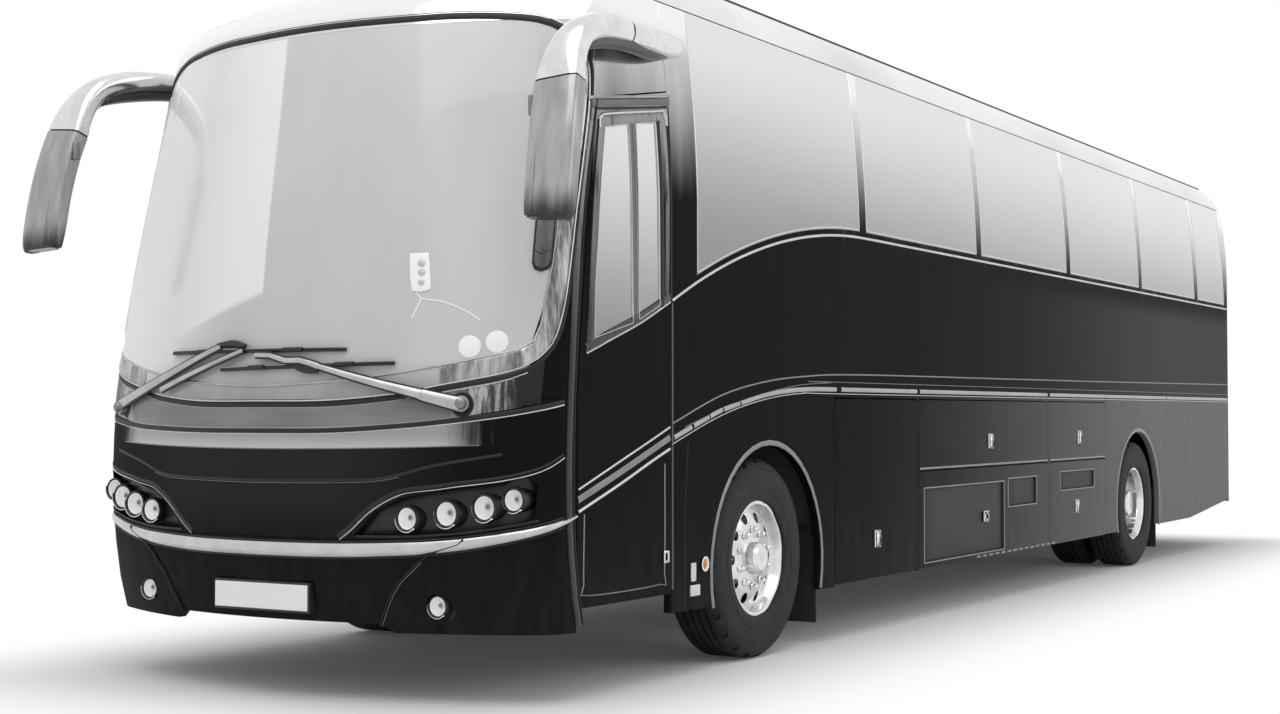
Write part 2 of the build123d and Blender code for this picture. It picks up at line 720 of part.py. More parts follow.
def rim(centre_x, centre_y, side, disc_out, dish, hub_bore, hub_start, hub_end, boss):
    """Disc wheel: barrel with flanges, a pierced disc and the hub that turns with it."""
    out = side
    half = tyre_width / 2 - 32
    with BuildPart() as wheel:
        with BuildSketch(Plane.XZ.offset(-centre_y)):
            with BuildLine():
                Polyline(
                    (centre_x - half, axle_z + bead_radius),
                    (centre_x - half, axle_z + rim_flange_radius),
                    (centre_x - half - 8, axle_z + rim_flange_radius),
                    (centre_x - half - 8, axle_z + bead_radius - 16),
                    (centre_x - half + 50, axle_z + bead_radius - 40),
                    (centre_x + half - 50, axle_z + bead_radius - 40),
                    (centre_x + half + 8, axle_z + bead_radius - 16),
                    (centre_x + half + 8, axle_z + rim_flange_radius),
                    (centre_x + half, axle_z + rim_flange_radius),
                    (centre_x + half, axle_z + bead_radius),
                    close=True,
                )
            make_face()
            with BuildLine():
                Polyline(
                    (centre_x + out * (disc_out - 12), axle_z + hub_bore),
                    (centre_x + out * disc_out, axle_z + hub_bore),
                    (centre_x + out * disc_out, axle_z + 185),
                    (centre_x + out * (disc_out - dish), axle_z + bead_radius - 22),
                    (centre_x + out * (disc_out - dish - 14), axle_z + bead_radius - 22),
                    (centre_x + out * (disc_out - 14), axle_z + 178),
                    close=True,
                )
            make_face()
            with BuildLine():
                Polyline(
                    (centre_x + out * hub_start, axle_z + hub_bore),
                    (centre_x + out * hub_end, axle_z + hub_bore),
                    (centre_x + out * hub_end, axle_z + hub_radius),
                    (centre_x + out * hub_start, axle_z + hub_radius),
                    close=True,
                )
            make_face()
            if boss > hub_end:
                with BuildLine():
                    Polyline(
                        (centre_x + out * hub_end, axle_z),
                        (centre_x + out * boss, axle_z),
                        (centre_x + out * boss, axle_z + hub_radius - 22),
                        (centre_x + out * (boss - 14), axle_z + hub_radius - 4),
                        (centre_x + out * hub_end, axle_z + hub_radius),
                        close=True,
                    )
                make_face()
        revolve(axis=Axis((0, centre_y, axle_z), (1, 0, 0)))
        with BuildSketch(Plane.YZ.offset(centre_x + out * (disc_out - 80))):
            with Locations((centre_y, axle_z)):
                with PolarLocations(208, hand_hole_count):
                    Circle(hand_hole_radius)
        extrude(amount=out * 110, mode=Mode.SUBTRACT)
    return wheel.part


for side, side_name in ((1, "left"), (-1, "right")):
    with BuildPart() as tyre_front:
        add(tyre(side * front_track_half, front_axle_y))
    tyre_front.part.label = "tyre_front_" + side_name
    export_step(tyre_front.part, "parts/tyre_front_" + side_name + ".step")

    with BuildPart() as rim_front:
        add(rim(side * front_track_half, front_axle_y, side, 92, 34, stub_radius + running_gap, -40, 104, 150))
    rim_front.part.label = "rim_front_" + side_name
    export_step(rim_front.part, "parts/rim_front_" + side_name + ".step")

    with BuildPart() as tyres_rear:
        add(tyre(side * twin_outer_half, rear_axle_y))
        add(tyre(side * (twin_outer_half - twin_spacing), rear_axle_y))
    tyres_rear.part.label = "tyres_rear_" + side_name
    export_step(tyres_rear.part, "parts/tyres_rear_" + side_name + ".step")

    disc_face = twin_spacing / 2
    bore = rear_spindle_radius + running_gap
    with BuildPart() as rims_rear:
        add(rim(side * twin_outer_half, rear_axle_y, -side, disc_face, 70, bore, 30, disc_face, 0))
        add(rim(side * (twin_outer_half - twin_spacing), rear_axle_y, side, disc_face, 70, bore, 60, disc_face, 0))
        with BuildSketch(Plane.YZ.offset(side * (spindle_end + moving_gap))):
            with Locations((rear_axle_y, axle_z)):
                Circle(hub_radius + 12)
        extrude(amount=side * 40)
        with BuildSketch(Plane.YZ.offset(side * (twin_outer_half - 30))):
            with Locations((rear_axle_y, axle_z)):
                Circle(hub_radius + 12)
                Circle(bore, mode=Mode.SUBTRACT)
        extrude(amount=side * (spindle_end + moving_gap - twin_outer_half + 30))
    rims_rear.part.label = "rims_rear_" + side_name
    export_step(rims_rear.part, "parts/rims_rear_" + side_name + ".step")

# ---------------------------------------------------------------- engine
with BuildPart() as engine:
    with BuildSketch(Plane.XY.offset(480)):
        with Locations((0, (ya(7650) + rear_y - 420) / 2)):
            Rectangle(2 * (rail_x - rail_width / 2) - 4, rear_y - 420 - ya(7650))
    extrude(amount=640)
    with BuildSketch(Plane.XY.offset(rail_top_z)):
        with Locations((0, (ya(7650) + rear_y - 420) / 2)):
            Rectangle(2 * (rail_x + rail_width / 2) + 60, 300)
    extrude(amount=80)
engine.part.label = "engine"
export_step(engine.part, "parts/engine.step")

# ---------------------------------------------------------------- front panels
front_cut_y = door_front_y - panel_gap


def nose_points(low, high):
    """Side-view outline of the nose between two levels, ahead of the doorway."""
    levels = [low] + [z for z, setback in door_front_line if low < z < high] + [high]
    points = [(front_y - 100, low), (front_y - 100, high)]
    return points + [(door_front(z) - door_gap, z) for z in reversed(levels)]


def front_zone(low, high):
    """Part of the skin ahead of the doorway between two levels."""
    with BuildPart() as zone:
        add(nose_skin)
        with BuildSketch(Plane.YZ.offset(-1500)):
            with BuildLine():
                Polyline(*nose_points(low, high), close=True)
            make_face()
        extrude(amount=3000, mode=Mode.INTERSECT)
    return zone.part


# lamp recess outline on the front, from the middle outwards
lamp_outline = [
    (485.0, 712.0),
    (590.0, 822.0),
    (700.0, 874.0),
    (865.0, 906.0),
    (1097.0, 936.0),
    (1190.0, 985.0),
    (1225.0, 930.0),
    (1215.0, 800.0),
    (1150.0, 745.0),
    (950.0, 716.0),
]
lamp_seats = [
    (731.0, 790.0, 52.0),
    (893.0, 812.0, 56.0),
    (1040.0, 838.0, 56.0),
    (1150.0, 870.0, 50.0),
]


def front_surface(x, z):
    """Row position of the nose at a place across and up."""
    below = stations[0]
    for station in stations:
        if station[0] <= z:
            below = station
    above = stations[stations.index(below) + 1]
    share = (z - below[0]) / (above[0] - below[0])
    nose = front_y + below[1] + share * (above[1] - below[1])
    return nose + front_radius - sqrt(front_radius ** 2 - x ** 2)


with BuildPart() as front_panel:
    add(front_zone(bumper_top_z + panel_gap, screen_bottom_z - panel_gap))
    for side in (1, -1):
        with BuildSketch(Plane.XZ.offset(-front_cut_y)):
            with BuildLine():
                Polyline(*[(side * x, z) for x, z in lamp_outline], close=True)
            make_face()
        extrude(amount=1000, mode=Mode.SUBTRACT)
front_panel.part.label = "front_panel"
export_step(front_panel.part, "parts/front_panel.step")

fog_x = 825.0
fog_z = 422.0
fog_radius = 46.0
plate_z = 442.0
plate_width = 520.0
plate_height = 111.0
with BuildPart() as front_bumper:
    add(front_zone(250, bumper_top_z))
    # lower edge: higher in the middle, stepping down at the corner pieces
    with BuildSketch(Plane.XZ.offset(-front_cut_y)):
        with BuildLine():
            Polyline(
                (-1400, 0),
                (1400, 0),
                (1400, bumper_corner_bottom_z),
                (620, bumper_corner_bottom_z),
                (560, bumper_bottom_z),
                (-560, bumper_bottom_z),
                (-620, bumper_corner_bottom_z),
                (-1400, bumper_corner_bottom_z),
                close=True,
            )
        make_face()
    extrude(amount=1000, mode=Mode.SUBTRACT)
    with BuildSketch(Plane.XZ.offset(-front_cut_y)):
        with Locations((fog_x, fog_z), (-fog_x, fog_z)):
            Circle(fog_radius + 6)
    extrude(amount=1000, mode=Mode.SUBTRACT)
front_bumper.part.label = "front_bumper"
export_step(front_bumper.part, "parts/front_bumper.step")

lamp_plate_thickness = 22.0
lamp_plate_lap = 14.0
with BuildPart() as front_lamps:
    # back plates that fill the recesses behind the lenses
    add(inner_form)
    add(inner_form.moved(Location((0, lamp_plate_thickness, 0))), mode=Mode.SUBTRACT)
    with BuildSketch(Plane.XZ.offset(-front_cut_y)):
        for side in (1, -1):
            with BuildLine():
                Polyline(*[(side * x, z) for x, z in lamp_outline], close=True)
            make_face()
        offset(amount=lamp_plate_lap, kind=Kind.INTERSECTION)
    extrude(amount=1000, mode=Mode.INTERSECT)
    for x, z, r in lamp_seats:
        for side in (1, -1):
            with BuildSketch(Plane.XZ.offset(-front_surface(x, z) - 18)):
                with Locations((side * x, z)):
                    Circle(r)
            extrude(amount=-75)
    # fog lamps with a flange behind the bumper skin
    for side in (1, -1):
        with BuildSketch(Plane.XZ.offset(-front_surface(fog_x, fog_z) - 12)):
            with Locations((side * fog_x, fog_z)):
                Circle(fog_radius)
        extrude(amount=-90)
        with BuildSketch(Plane.XZ.offset(-front_surface(fog_x, fog_z) - 30)):
            with Locations((side * fog_x, fog_z)):
                Circle(fog_radius + 24)
        extrude(amount=-60)
    add(front_bumper.part, mode=Mode.SUBTRACT)
front_lamps.part.label = "front_lamps"
export_step(front_lamps.part, "parts/front_lamps.step")

# ---------------------------------------------------------------- windscreen
screen_half = 1185.0
with BuildPart() as windscreen:
    add(nose_outer_skin)
    with BuildSketch(Plane.YZ.offset(-screen_half)):
        with BuildLine():
            Polyline(*nose_points(screen_bottom_z, screen_top_z), close=True)
        make_face()
    extrude(amount=2 * screen_half, mode=Mode.INTERSECT)
windscreen.part.label = "windscreen"
export_step(windscreen.part, "parts/windscreen.step")

with BuildPart() as screen_frame:
    add(front_zone(screen_bottom_z, screen_top_z))
    add(windscreen.part, mode=Mode.SUBTRACT)
    with BuildSketch(Plane.XZ.offset(-door_rear_y)):
        with Locations((0, (screen_bottom_z + screen_top_z) / 2 + 10)):
            Rectangle(2 * screen_half - 150, screen_top_z - screen_bottom_z - 130)
    extrude(amount=3000, mode=Mode.SUBTRACT)
screen_frame.part.label = "screen_frame"
export_step(screen_frame.part, "parts/screen_frame.step")

# ---------------------------------------------------------------- roof
with BuildPart() as roof_front_cap:
    add(nose_skin)
    with BuildSketch(Plane.YZ.offset(-1500)):
        with BuildLine():
            Polyline(
                (front_y - 100, screen_top_z + panel_gap),
                (door_front(screen_top_z) - door_gap + panel_gap, screen_top_z + panel_gap),
                (door_front(door_top_front_z + door_gap) - door_gap + panel_gap, door_top_front_z + door_gap),
                (cap_rear_y, door_top_rear_z + door_gap),
                (cap_rear_y, roof_z + 100),
                (front_y - 100, roof_z + 100),
                close=True,
            )
        make_face()
    extrude(amount=3000, mode=Mode.INTERSECT)
roof_front_cap.part.label = "roof_front_cap"
export_step(roof_front_cap.part, "parts/roof_front_cap.step")

roof_rear_y = rear_y - rear_wall_depth
with BuildPart() as roof_shell:
    add(outer_form)
    add(inner_form, mode=Mode.SUBTRACT)
    with Locations((0, (cap_rear_y + panel_gap + rear_y + 100) / 2, (window_top_z + roof_z + 100) / 2)):
        Box(
            3000,
            rear_y + 100 - cap_rear_y - panel_gap,
            roof_z + 100 - window_top_z,
            mode=Mode.INTERSECT,
        )
roof_shell.part.label = "roof_shell"
export_step(roof_shell.part, "parts/roof_shell.step")


# ---------------------------------------------------------------- side windows
def pane_sketch_points(start, end, margin):
    """Side-view outline of a pane, following the belt, grown by margin."""
    top = window_top_z - 4 + margin
    return [
        (ya(start) - margin, top),
        (ya(end) + margin, top),
        (ya(end) + margin, belt_height(end) + 4 - margin),
        (ya((start + end) / 2), belt_height((start + end) / 2) + 4 - margin),
        (ya(start) - margin, belt_height(start) + 4 - margin),
    ]


def pane_outline(start, end, margin):
    """Closed side-view line round a pane."""
    points = pane_sketch_points(start, end, margin)
    with BuildLine() as outline:
        Line(points[0], points[1])
        Line(points[1], points[2])
        if start < belt_arc_start:
            ThreePointArc(points[2], points[3], points[4])
        else:
            Line(points[2], points[4])
        Line(points[4], points[0])
    return outline.line


def side_panes(side):
    """Bonded side glass, one pane for each bay."""
    with BuildPart() as panes:
        add(mid_outer_skin)
        with BuildSketch(Plane.YZ):
            for start, end in pane_edges:
                add(pane_outline(start, end, 0))
                make_face()
        extrude(amount=side * (body_half_width + 100), mode=Mode.INTERSECT)
    return panes.part


def side_pillars(side):
    """Window pillars and rails behind the bonded glass."""
    start = pane_edges[0][0]
    end = rear_y - rear_wall_depth - front_axle_y
    with BuildPart() as pillars:
        add(mid_skin)
        with BuildSketch(Plane.YZ):
            with BuildLine():
                Line((ya(side_front), window_top_z), (ya(end), window_top_z))
                Line((ya(end), window_top_z), (ya(end), belt_z))
                Line((ya(end), belt_z), (ya(belt_arc_start), belt_z))
                ThreePointArc(
                    (ya(belt_arc_start), belt_z),
                    (ya(150), belt_height(150)),
                    (ya(side_front), belt_height(side_front)),
                )
                Line((ya(side_front), belt_height(side_front)), (ya(side_front), window_top_z))
            make_face()
        extrude(amount=side * (body_half_width + 100), mode=Mode.INTERSECT)
        add(side_panes(side), mode=Mode.SUBTRACT)
        with BuildSketch(Plane.YZ):
            for start, end in pane_edges:
                add(pane_outline(start, end, -pane_frame))
                make_face()
        extrude(amount=side * (body_half_width + 100), mode=Mode.SUBTRACT)
    return pillars.part


with BuildPart() as side_wall_left:
    add(side_wall(1, side_front))
    add(side_pillars(1))
side_wall_left.part.label = "side_wall_left"
export_step(side_wall_left.part, "parts/side_wall_left.step")

with BuildPart() as side_wall_right:
    add(side_wall(-1, side_front))
    add(side_pillars(-1))
side_wall_right.part.label = "side_wall_right"
export_step(side_wall_right.part, "parts/side_wall_right.step")


# ---------------------------------------------------------------- passenger door
def door_outline():
    """Side-view outline of the door, its front edge leaning with the screen."""
    levels = [z for z, setback in door_front_line if door_bottom_z < z < door_top_front_z]
    points = [(door_rear_y, door_bottom_z), (door_rear_y, door_top_rear_z)]
    points.append((door_front(door_top_front_z), door_top_front_z))
    points += [(door_front(z), z) for z in reversed(levels)]
    points.append((door_front(door_bottom_z), door_bottom_z))
    return points


door_glass_margin = 75.0
door_glass_top_margin = 95.0
door_divider_y = ya(-1255.0)
# lower edge of the door glass: row position and level
door_glass_sill = [
    (ya(-1700.0), 1470.0),
    (ya(-1583.0), 1545.0),
    (ya(-1278.0), 1637.0),
    (ya(-1027.0), 1736.0),
    (ya(-900.0), 1800.0),
]


def sill_height(y):
    """Level of the door glass sill at a row position."""
    for first, second in zip(door_glass_sill, door_glass_sill[1:]):
        if y <= second[0]:
            share = (y - first[0]) / (second[0] - first[0])
            return first[1] + share * (second[1] - first[1])
    return door_glass_sill[-1][1]


def door_glass_outline(front, rear, shrink):
    """Side-view outline of one door pane; a pane with no front follows the door's front edge."""
    slope = (door_top_rear_z - door_top_front_z) / (door_rear_y - door_front(door_top_front_z))

    def top(y):
        return door_top_rear_z + slope * (y - door_rear_y) - door_glass_top_margin

    if front is None:
        high_y = door_front(door_top_front_z) + door_glass_margin + shrink
        low_y = door_front(1520.0) + door_glass_margin + shrink
        mid_y = door_front(2120.0) + door_glass_margin + shrink
        left = [(low_y, sill_height(low_y) + shrink), (mid_y, 2120.0), (high_y, top(high_y) - shrink)]
    else:
        start = front + shrink
        left = [(start, sill_height(start) + shrink), (start, top(start) - shrink)]
    end = rear - shrink
    return left + [(end, top(end) - shrink), (end, sill_height(end) + shrink)]


door_panes = [
    (None, door_divider_y - 12),
    (door_divider_y + 12, door_rear_y - door_glass_margin),
]
with BuildPart() as passenger_door:
    add(nose_skin)
    with BuildSketch(Plane.YZ):
        with BuildLine():
            Polyline(*door_outline(), close=True)
        make_face()
    extrude(amount=1400, mode=Mode.INTERSECT)
    with BuildSketch(Plane.YZ):
        for front, rear in door_panes:
            with BuildLine():
                Polyline(*door_glass_outline(front, rear, 20), close=True)
            make_face()
    extrude(amount=1400, mode=Mode.SUBTRACT)
    with BuildPart(mode=Mode.PRIVATE) as rebate:
        add(nose_outer_skin)
        with BuildSketch(Plane.YZ):
            for front, rear in door_panes:
                with BuildLine():
                    Polyline(*door_glass_outline(front, rear, 0), close=True)
                make_face()
        extrude(amount=1400, mode=Mode.INTERSECT)
    add(rebate.part, mode=Mode.SUBTRACT)
    # hinge bracket that the door arm turns on
    arm_y = door_front_y + door_post_setback + door_arm_length
    with BuildSketch(Plane.XY.offset(door_arm_z - 60)):
        with Locations((inner_half - 40, arm_y)):
            Rectangle(80, 70)
    extrude(amount=30)
    with BuildSketch(Plane.XY.offset(door_arm_z + 30)):
        with Locations((inner_half - 40, arm_y)):
            Rectangle(80, 70)
    extrude(amount=30)
    with BuildSketch(Plane.XY.offset(door_arm_z - 60)):
        with Locations((post_x, arm_y)):
            Circle(door_pin_radius)
    extrude(amount=120)
passenger_door.part.label = "passenger_door"
export_step(passenger_door.part, "parts/passenger_door.step")

with BuildPart() as door_glass:
    add(rebate.part)
door_glass.part.label = "door_glass"
export_step(door_glass.part, "parts/door_glass.step")

# arm between the post at the front of the doorway and the door
with BuildPart() as door_arm:
    with BuildLine() as arm_line:
        FilletPolyline(
            (post_x, post_y, door_arm_z),
            (post_x - 95, post_y + 120, door_arm_z),
            (post_x - 95, arm_y - 110, door_arm_z),
            (post_x, arm_y, door_arm_z),
            radius=40,
        )
    with BuildSketch(Plane(arm_line.line @ 0, z_dir=arm_line.line % 0)):
        Circle(17)
    sweep()
    with BuildSketch(Plane.XY.offset(door_arm_z - door_sleeve_half)):
        with Locations((post_x, post_y), (post_x, arm_y)):
            Circle(24)
    extrude(amount=2 * door_sleeve_half)
    with BuildSketch(Plane.XY.offset(door_arm_z - 30)):
        with Locations((post_x, post_y), (post_x, arm_y)):
            Circle(door_pin_radius + 0.05)
    extrude(amount=60, mode=Mode.SUBTRACT)
door_arm.part.label = "door_arm"
export_step(door_arm.part, "parts/door_arm.step")

# ---------------------------------------------------------------- driver's side, -X
lead = door_gap - panel_gap
with BuildPart() as cab_side_right:
    add(nose_cab_skin)
    with BuildSketch(Plane.YZ):
        with BuildLine():
            Polyline(
                (ya(side_front) - panel_gap, skirt_bottom_z + 20),
                (ya(side_front) - panel_gap, door_top_rear_z + lead),
                (door_rear_y, door_top_rear_z + lead),
                (door_front(door_top_front_z + lead) - lead, door_top_front_z + lead),
                (door_front(door_top_front_z) - lead, door_top_front_z),
                (door_front(2120.0) - lead, 2120.0),
                (door_front(1700.0) - lead, 1700.0),
                (door_front(1290.0) - lead, 1290.0),
                (door_front(skirt_bottom_z + 20) - lead, skirt_bottom_z + 20),
                close=True,
            )
        make_face()
    extrude(amount=-1400, mode=Mode.INTERSECT)
    with BuildPart(mode=Mode.PRIVATE) as cab_rebate:
        add(nose_outer_skin)
        with BuildSketch(Plane.YZ):
            with BuildLine():
                Polyline(*door_glass_outline(None, door_panes[1][1], 0), close=True)
            make_face()
        extrude(amount=-1400, mode=Mode.INTERSECT)
    add(cab_rebate.part, mode=Mode.SUBTRACT)
    with BuildSketch(Plane.YZ):
        with BuildLine():
            Polyline(*door_glass_outline(None, door_panes[1][1], 30), close=True)
        make_face()
    extrude(amount=-1400, mode=Mode.SUBTRACT)
cab_side_right.part.label = "cab_side_right"
export_step(cab_side_right.part, "parts/cab_side_right.step")

# ---------------------------------------------------------------- rear
with BuildPart() as rear_wall:
    add(tail_skin)
    with Locations((0, (tail_cut_y + rear_y + 300) / 2, (rear_bumper_top_z + panel_gap + window_top_z) / 2)):
        Box(
            3000,
            rear_y + 300 - tail_cut_y,
            window_top_z - rear_bumper_top_z - panel_gap,
            mode=Mode.INTERSECT,
        )
    with BuildSketch(Plane.XZ.offset(-rear_y + 400)):
        with Locations((0, (engine_lid_bottom_z + engine_lid_top_z) / 2)):
            Rectangle(
                2 * engine_lid_half_width + 2 * door_gap,
                engine_lid_top_z - engine_lid_bottom_z + 2 * door_gap,
            )
        with Locations((0, (rear_window_bottom_z + rear_window_top_z) / 2)):
            RectangleRounded(
                2 * rear_window_half_width - 60,
                rear_window_top_z - rear_window_bottom_z - 60,
                60,
            )
    extrude(amount=-900, mode=Mode.SUBTRACT)
    with BuildPart(mode=Mode.PRIVATE) as rear_glass_form:
        add(tail_outer_skin)
        with BuildSketch(Plane.XZ.offset(-rear_y + 400)):
            with Locations((0, (rear_window_bottom_z + rear_window_top_z) / 2)):
                RectangleRounded(
                    2 * rear_window_half_width,
                    rear_window_top_z - rear_window_bottom_z,
                    80,
                )
        extrude(amount=-900, mode=Mode.INTERSECT)
    add(rear_glass_form.part, mode=Mode.SUBTRACT)
    # flange behind the engine lid that the lid closes on
    with BuildPart(mode=Mode.PRIVATE) as lid_flange:
        add(inner_form.moved(Location((0, -touch_gap, 0))))
        add(inner_form.moved(Location((0, -25, 0))), mode=Mode.SUBTRACT)
        with BuildSketch(Plane.XZ.offset(-rear_y + 400)):
            with Locations((0, (engine_lid_bottom_z + engine_lid_top_z) / 2)):
                Rectangle(2 * engine_lid_half_width + 60, engine_lid_top_z - engine_lid_bottom_z + 60)
                Rectangle(
                    2 * engine_lid_half_width - 40,
                    engine_lid_top_z - engine_lid_bottom_z - 40,
                    mode=Mode.SUBTRACT,
                )
        extrude(amount=-900, mode=Mode.INTERSECT)
    add(lid_flange.part)
    with BuildPart(mode=Mode.PRIVATE) as lid_lip:
        add(inner_form.moved(Location((0, 1, 0))))
        add(inner_form.moved(Location((0, -5, 0))), mode=Mode.SUBTRACT)
        with BuildSketch(Plane.XZ.offset(-rear_y + 400)):
            with Locations((0, (engine_lid_bottom_z + engine_lid_top_z) / 2)):
                Rectangle(2 * engine_lid_half_width + 60, engine_lid_top_z - engine_lid_bottom_z + 60)
                Rectangle(
                    2 * engine_lid_half_width + 2 * door_gap,
                    engine_lid_top_z - engine_lid_bottom_z + 2 * door_gap,
                    mode=Mode.SUBTRACT,
                )
        extrude(amount=-900, mode=Mode.INTERSECT)
    add(lid_lip.part)
rear_wall.part.label = "rear_wall"
export_step(rear_wall.part, "parts/rear_wall.step")

with BuildPart() as windows:
    add(side_panes(1))
    add(side_panes(-1))
    add(cab_rebate.part)
    add(rear_glass_form.part)
windows.part.label = "windows"
export_step(windows.part, "parts/windows.step")

with BuildPart() as engine_lid:
    add(tail_skin)
    with BuildSketch(Plane.XZ.offset(-rear_y + 400)):
        with Locations((0, (engine_lid_bottom_z + engine_lid_top_z) / 2)):
            Rectangle(2 * engine_lid_half_width, engine_lid_top_z - engine_lid_bottom_z)
    extrude(amount=-900, mode=Mode.INTERSECT)
engine_lid.part.label = "engine_lid"
export_step(engine_lid.part, "parts/engine_lid.step")

with BuildPart() as rear_bumper:
    add(tail_skin)
    with Locations((0, (tail_cut_y + rear_y + 300) / 2, (rear_bumper_bottom_z + rear_bumper_top_z) / 2)):
        Box(
            3000,
            rear_y + 300 - tail_cut_y,
            rear_bumper_top_z - rear_bumper_bottom_z,
            mode=Mode.INTERSECT,
        )
    with BuildSketch(Plane.XZ.offset(-rear_y - 20)):
        with Locations((0, rear_plate_z)):
            Rectangle(plate_width + 20, plate_height + 20)
    extrude(amount=rear_plate_recess + 20, mode=Mode.SUBTRACT)
rear_bumper.part.label = "rear_bumper"
export_step(rear_bumper.part, "parts/rear_bumper.step")


def tail_surface(x):
    """Row position of the tail at a place across."""
    return rear_y - tail_radius + sqrt(tail_radius ** 2 - x ** 2)


tail_lamp_x = 1010.0
tail_lamp_radius = 50.0
with BuildPart() as tail_lamps:
    for side in (1, -1):
        for z in (820.0, 960.0, 1100.0, 1240.0):
            with BuildSketch(Plane.XZ.offset(-tail_surface(tail_lamp_x) - 10)):
                with Locations((side * tail_lamp_x, z)):
                    Circle(tail_lamp_radius)
            extrude(amount=40)
    add(outer_form, mode=Mode.SUBTRACT)
tail_lamps.part.label = "tail_lamps"
export_step(tail_lamps.part, "parts/tail_lamps.step")

with BuildPart() as number_plates:
    with BuildSketch(Plane.XZ.offset(-front_surface(0, plate_z + plate_height / 2) + 8)):
        with Locations((0, plate_z)):
            Rectangle(plate_width + 20, plate_height + 20)
    extrude(amount=-60)
    add(outer_form, mode=Mode.SUBTRACT)
    with BuildSketch(Plane.XZ.offset(-rear_y + 2)):
        with Locations((0, rear_plate_z)):
            Rectangle(plate_width + 20, plate_height + 20)
    extrude(amount=rear_plate_recess - 2)
number_plates.part.label = "number_plates"
export_step(number_plates.part, "parts/number_plates.step")


# ---------------------------------------------------------------- mirrors
mirror_bottom_x = 1446.0
mirror_bottom_from_axle = -2240.0
mirror_bottom_z = 2012.0
mirror_top_x = 1417.0
mirror_top_from_axle = -2110.0
mirror_top_z = 2586.0
mirror_width = 214.0
mirror_depth = 95.0
mirror_arm_radius = 46.0


def mirror_unit(side):
    """Leaning mirror head hung from a bent arm that springs from above the door."""
    root = Vector(side * 1232, ya(-1080), 2925)
    knee = Vector(side * 1392, ya(-1640), 2880)
    elbow = Vector(side * (mirror_top_x - 8), ya(-1990), 2795)
    low = Vector(side * mirror_bottom_x, ya(mirror_bottom_from_axle), mirror_bottom_z)
    high = Vector(side * mirror_top_x, ya(mirror_top_from_axle), mirror_top_z)
    rise = high - low
    with BuildPart() as unit:
        with BuildLine() as arm:
            FilletPolyline(root, knee, elbow, low + rise * 0.9, radius=120)
        with BuildSketch(Plane(arm.line @ 0, z_dir=arm.line % 0)):
            Circle(mirror_arm_radius)
        sweep()
        with BuildSketch(Plane(low, x_dir=Vector(rise.Z, 0, -rise.X), z_dir=rise)):
            RectangleRounded(mirror_width, mirror_depth, 30)
        extrude(amount=rise.length)
        add(outer_form, mode=Mode.SUBTRACT)
    return unit.part


with BuildPart() as mirror_left:
    add(mirror_unit(1))
mirror_left.part.label = "mirror_left"
export_step(mirror_left.part, "parts/mirror_left.step")

with BuildPart() as mirror_right:
    add(mirror_unit(-1))
mirror_right.part.label = "mirror_right"
export_step(mirror_right.part, "parts/mirror_right.step")

# ---------------------------------------------------------------- wipers
# each wiper: pivot x, pivot z, blade from and to, all across and up on the screen
wiper_table = [
    (-1040.0, 1255.0, -600.0, 1500.0, 430.0, 1500.0),
    (935.0, 1265.0, -240.0, 1420.0, 655.0, 1440.0),
]
with BuildPart() as wipers:
    for pivot_x, pivot_z, x0, z0, x1, z1 in wiper_table:
        pivot = Vector(pivot_x, front_surface(pivot_x, pivot_z) - 45, pivot_z)
        seat = Vector(pivot_x, front_surface(pivot_x, pivot_z) + 20, pivot_z)
        middle_x = (x0 + x1) / 2
        middle_z = (z0 + z1) / 2
        middle = Vector(middle_x, front_surface(middle_x, middle_z) - 40, middle_z)
        with BuildLine() as pivot_line:
            Line(seat, pivot)
        with BuildSketch(Plane(seat, z_dir=pivot - seat)):
            Circle(20)
        extrude(amount=(pivot - seat).length)
        with BuildSketch(Plane(pivot, z_dir=middle - pivot)):
            Circle(11)
        extrude(amount=(middle - pivot).length)
        blade_start = Vector(x0, front_surface(x0, z0) - 32, z0)
        blade_end = Vector(x1, front_surface(x1, z1) - 32, z1)
        blade_middle = Vector(middle_x, front_surface(middle_x, middle_z) - 32, middle_z)
        for first, second in ((blade_start, blade_middle), (blade_end, blade_middle)):
            with BuildSketch(Plane(first, z_dir=second - first)):
                Circle(12)
            extrude(amount=(second - first).length)
        with Locations((middle_x, middle.Y + 8, middle_z)):
            Box(60, 40, 34)
    add(outer_form, mode=Mode.SUBTRACT)
wipers.part.label = "wipers"
export_step(wipers.part, "parts/wipers.step")

# ---------------------------------------------------------------- cab fittings
wheel_x = -700.0
wheel_tilt = 55.0
wheel_centre = Vector(wheel_x, front_y + 720, 1600)
column_dir = Vector(0, cos(radians(wheel_tilt)), sin(radians(wheel_tilt)))
steering_radius = 235.0
steering_hub_depth = 18.0
dash_front_y = front_y + 545.0
with BuildPart() as dashboard:
    with BuildSketch(Plane.YZ.offset(-1150)):
        with BuildLine():
            Polyline(
                (dash_front_y, driver_floor_top_z),
                (dash_front_y + 90, driver_floor_top_z),
                (dash_front_y + 130, 1180),
                (dash_front_y + 230, 1330),
                (dash_front_y + 200, 1400),
                (dash_front_y, 1330),
                close=True,
            )
        make_face()
    extrude(amount=1350)
    column_top = wheel_centre - column_dir * (steering_hub_depth + touch_gap)
    with BuildSketch(Plane(column_top, z_dir=-column_dir)):
        Circle(30)
    extrude(amount=300)
dashboard.part.label = "dashboard"
export_step(dashboard.part, "parts/dashboard.step")

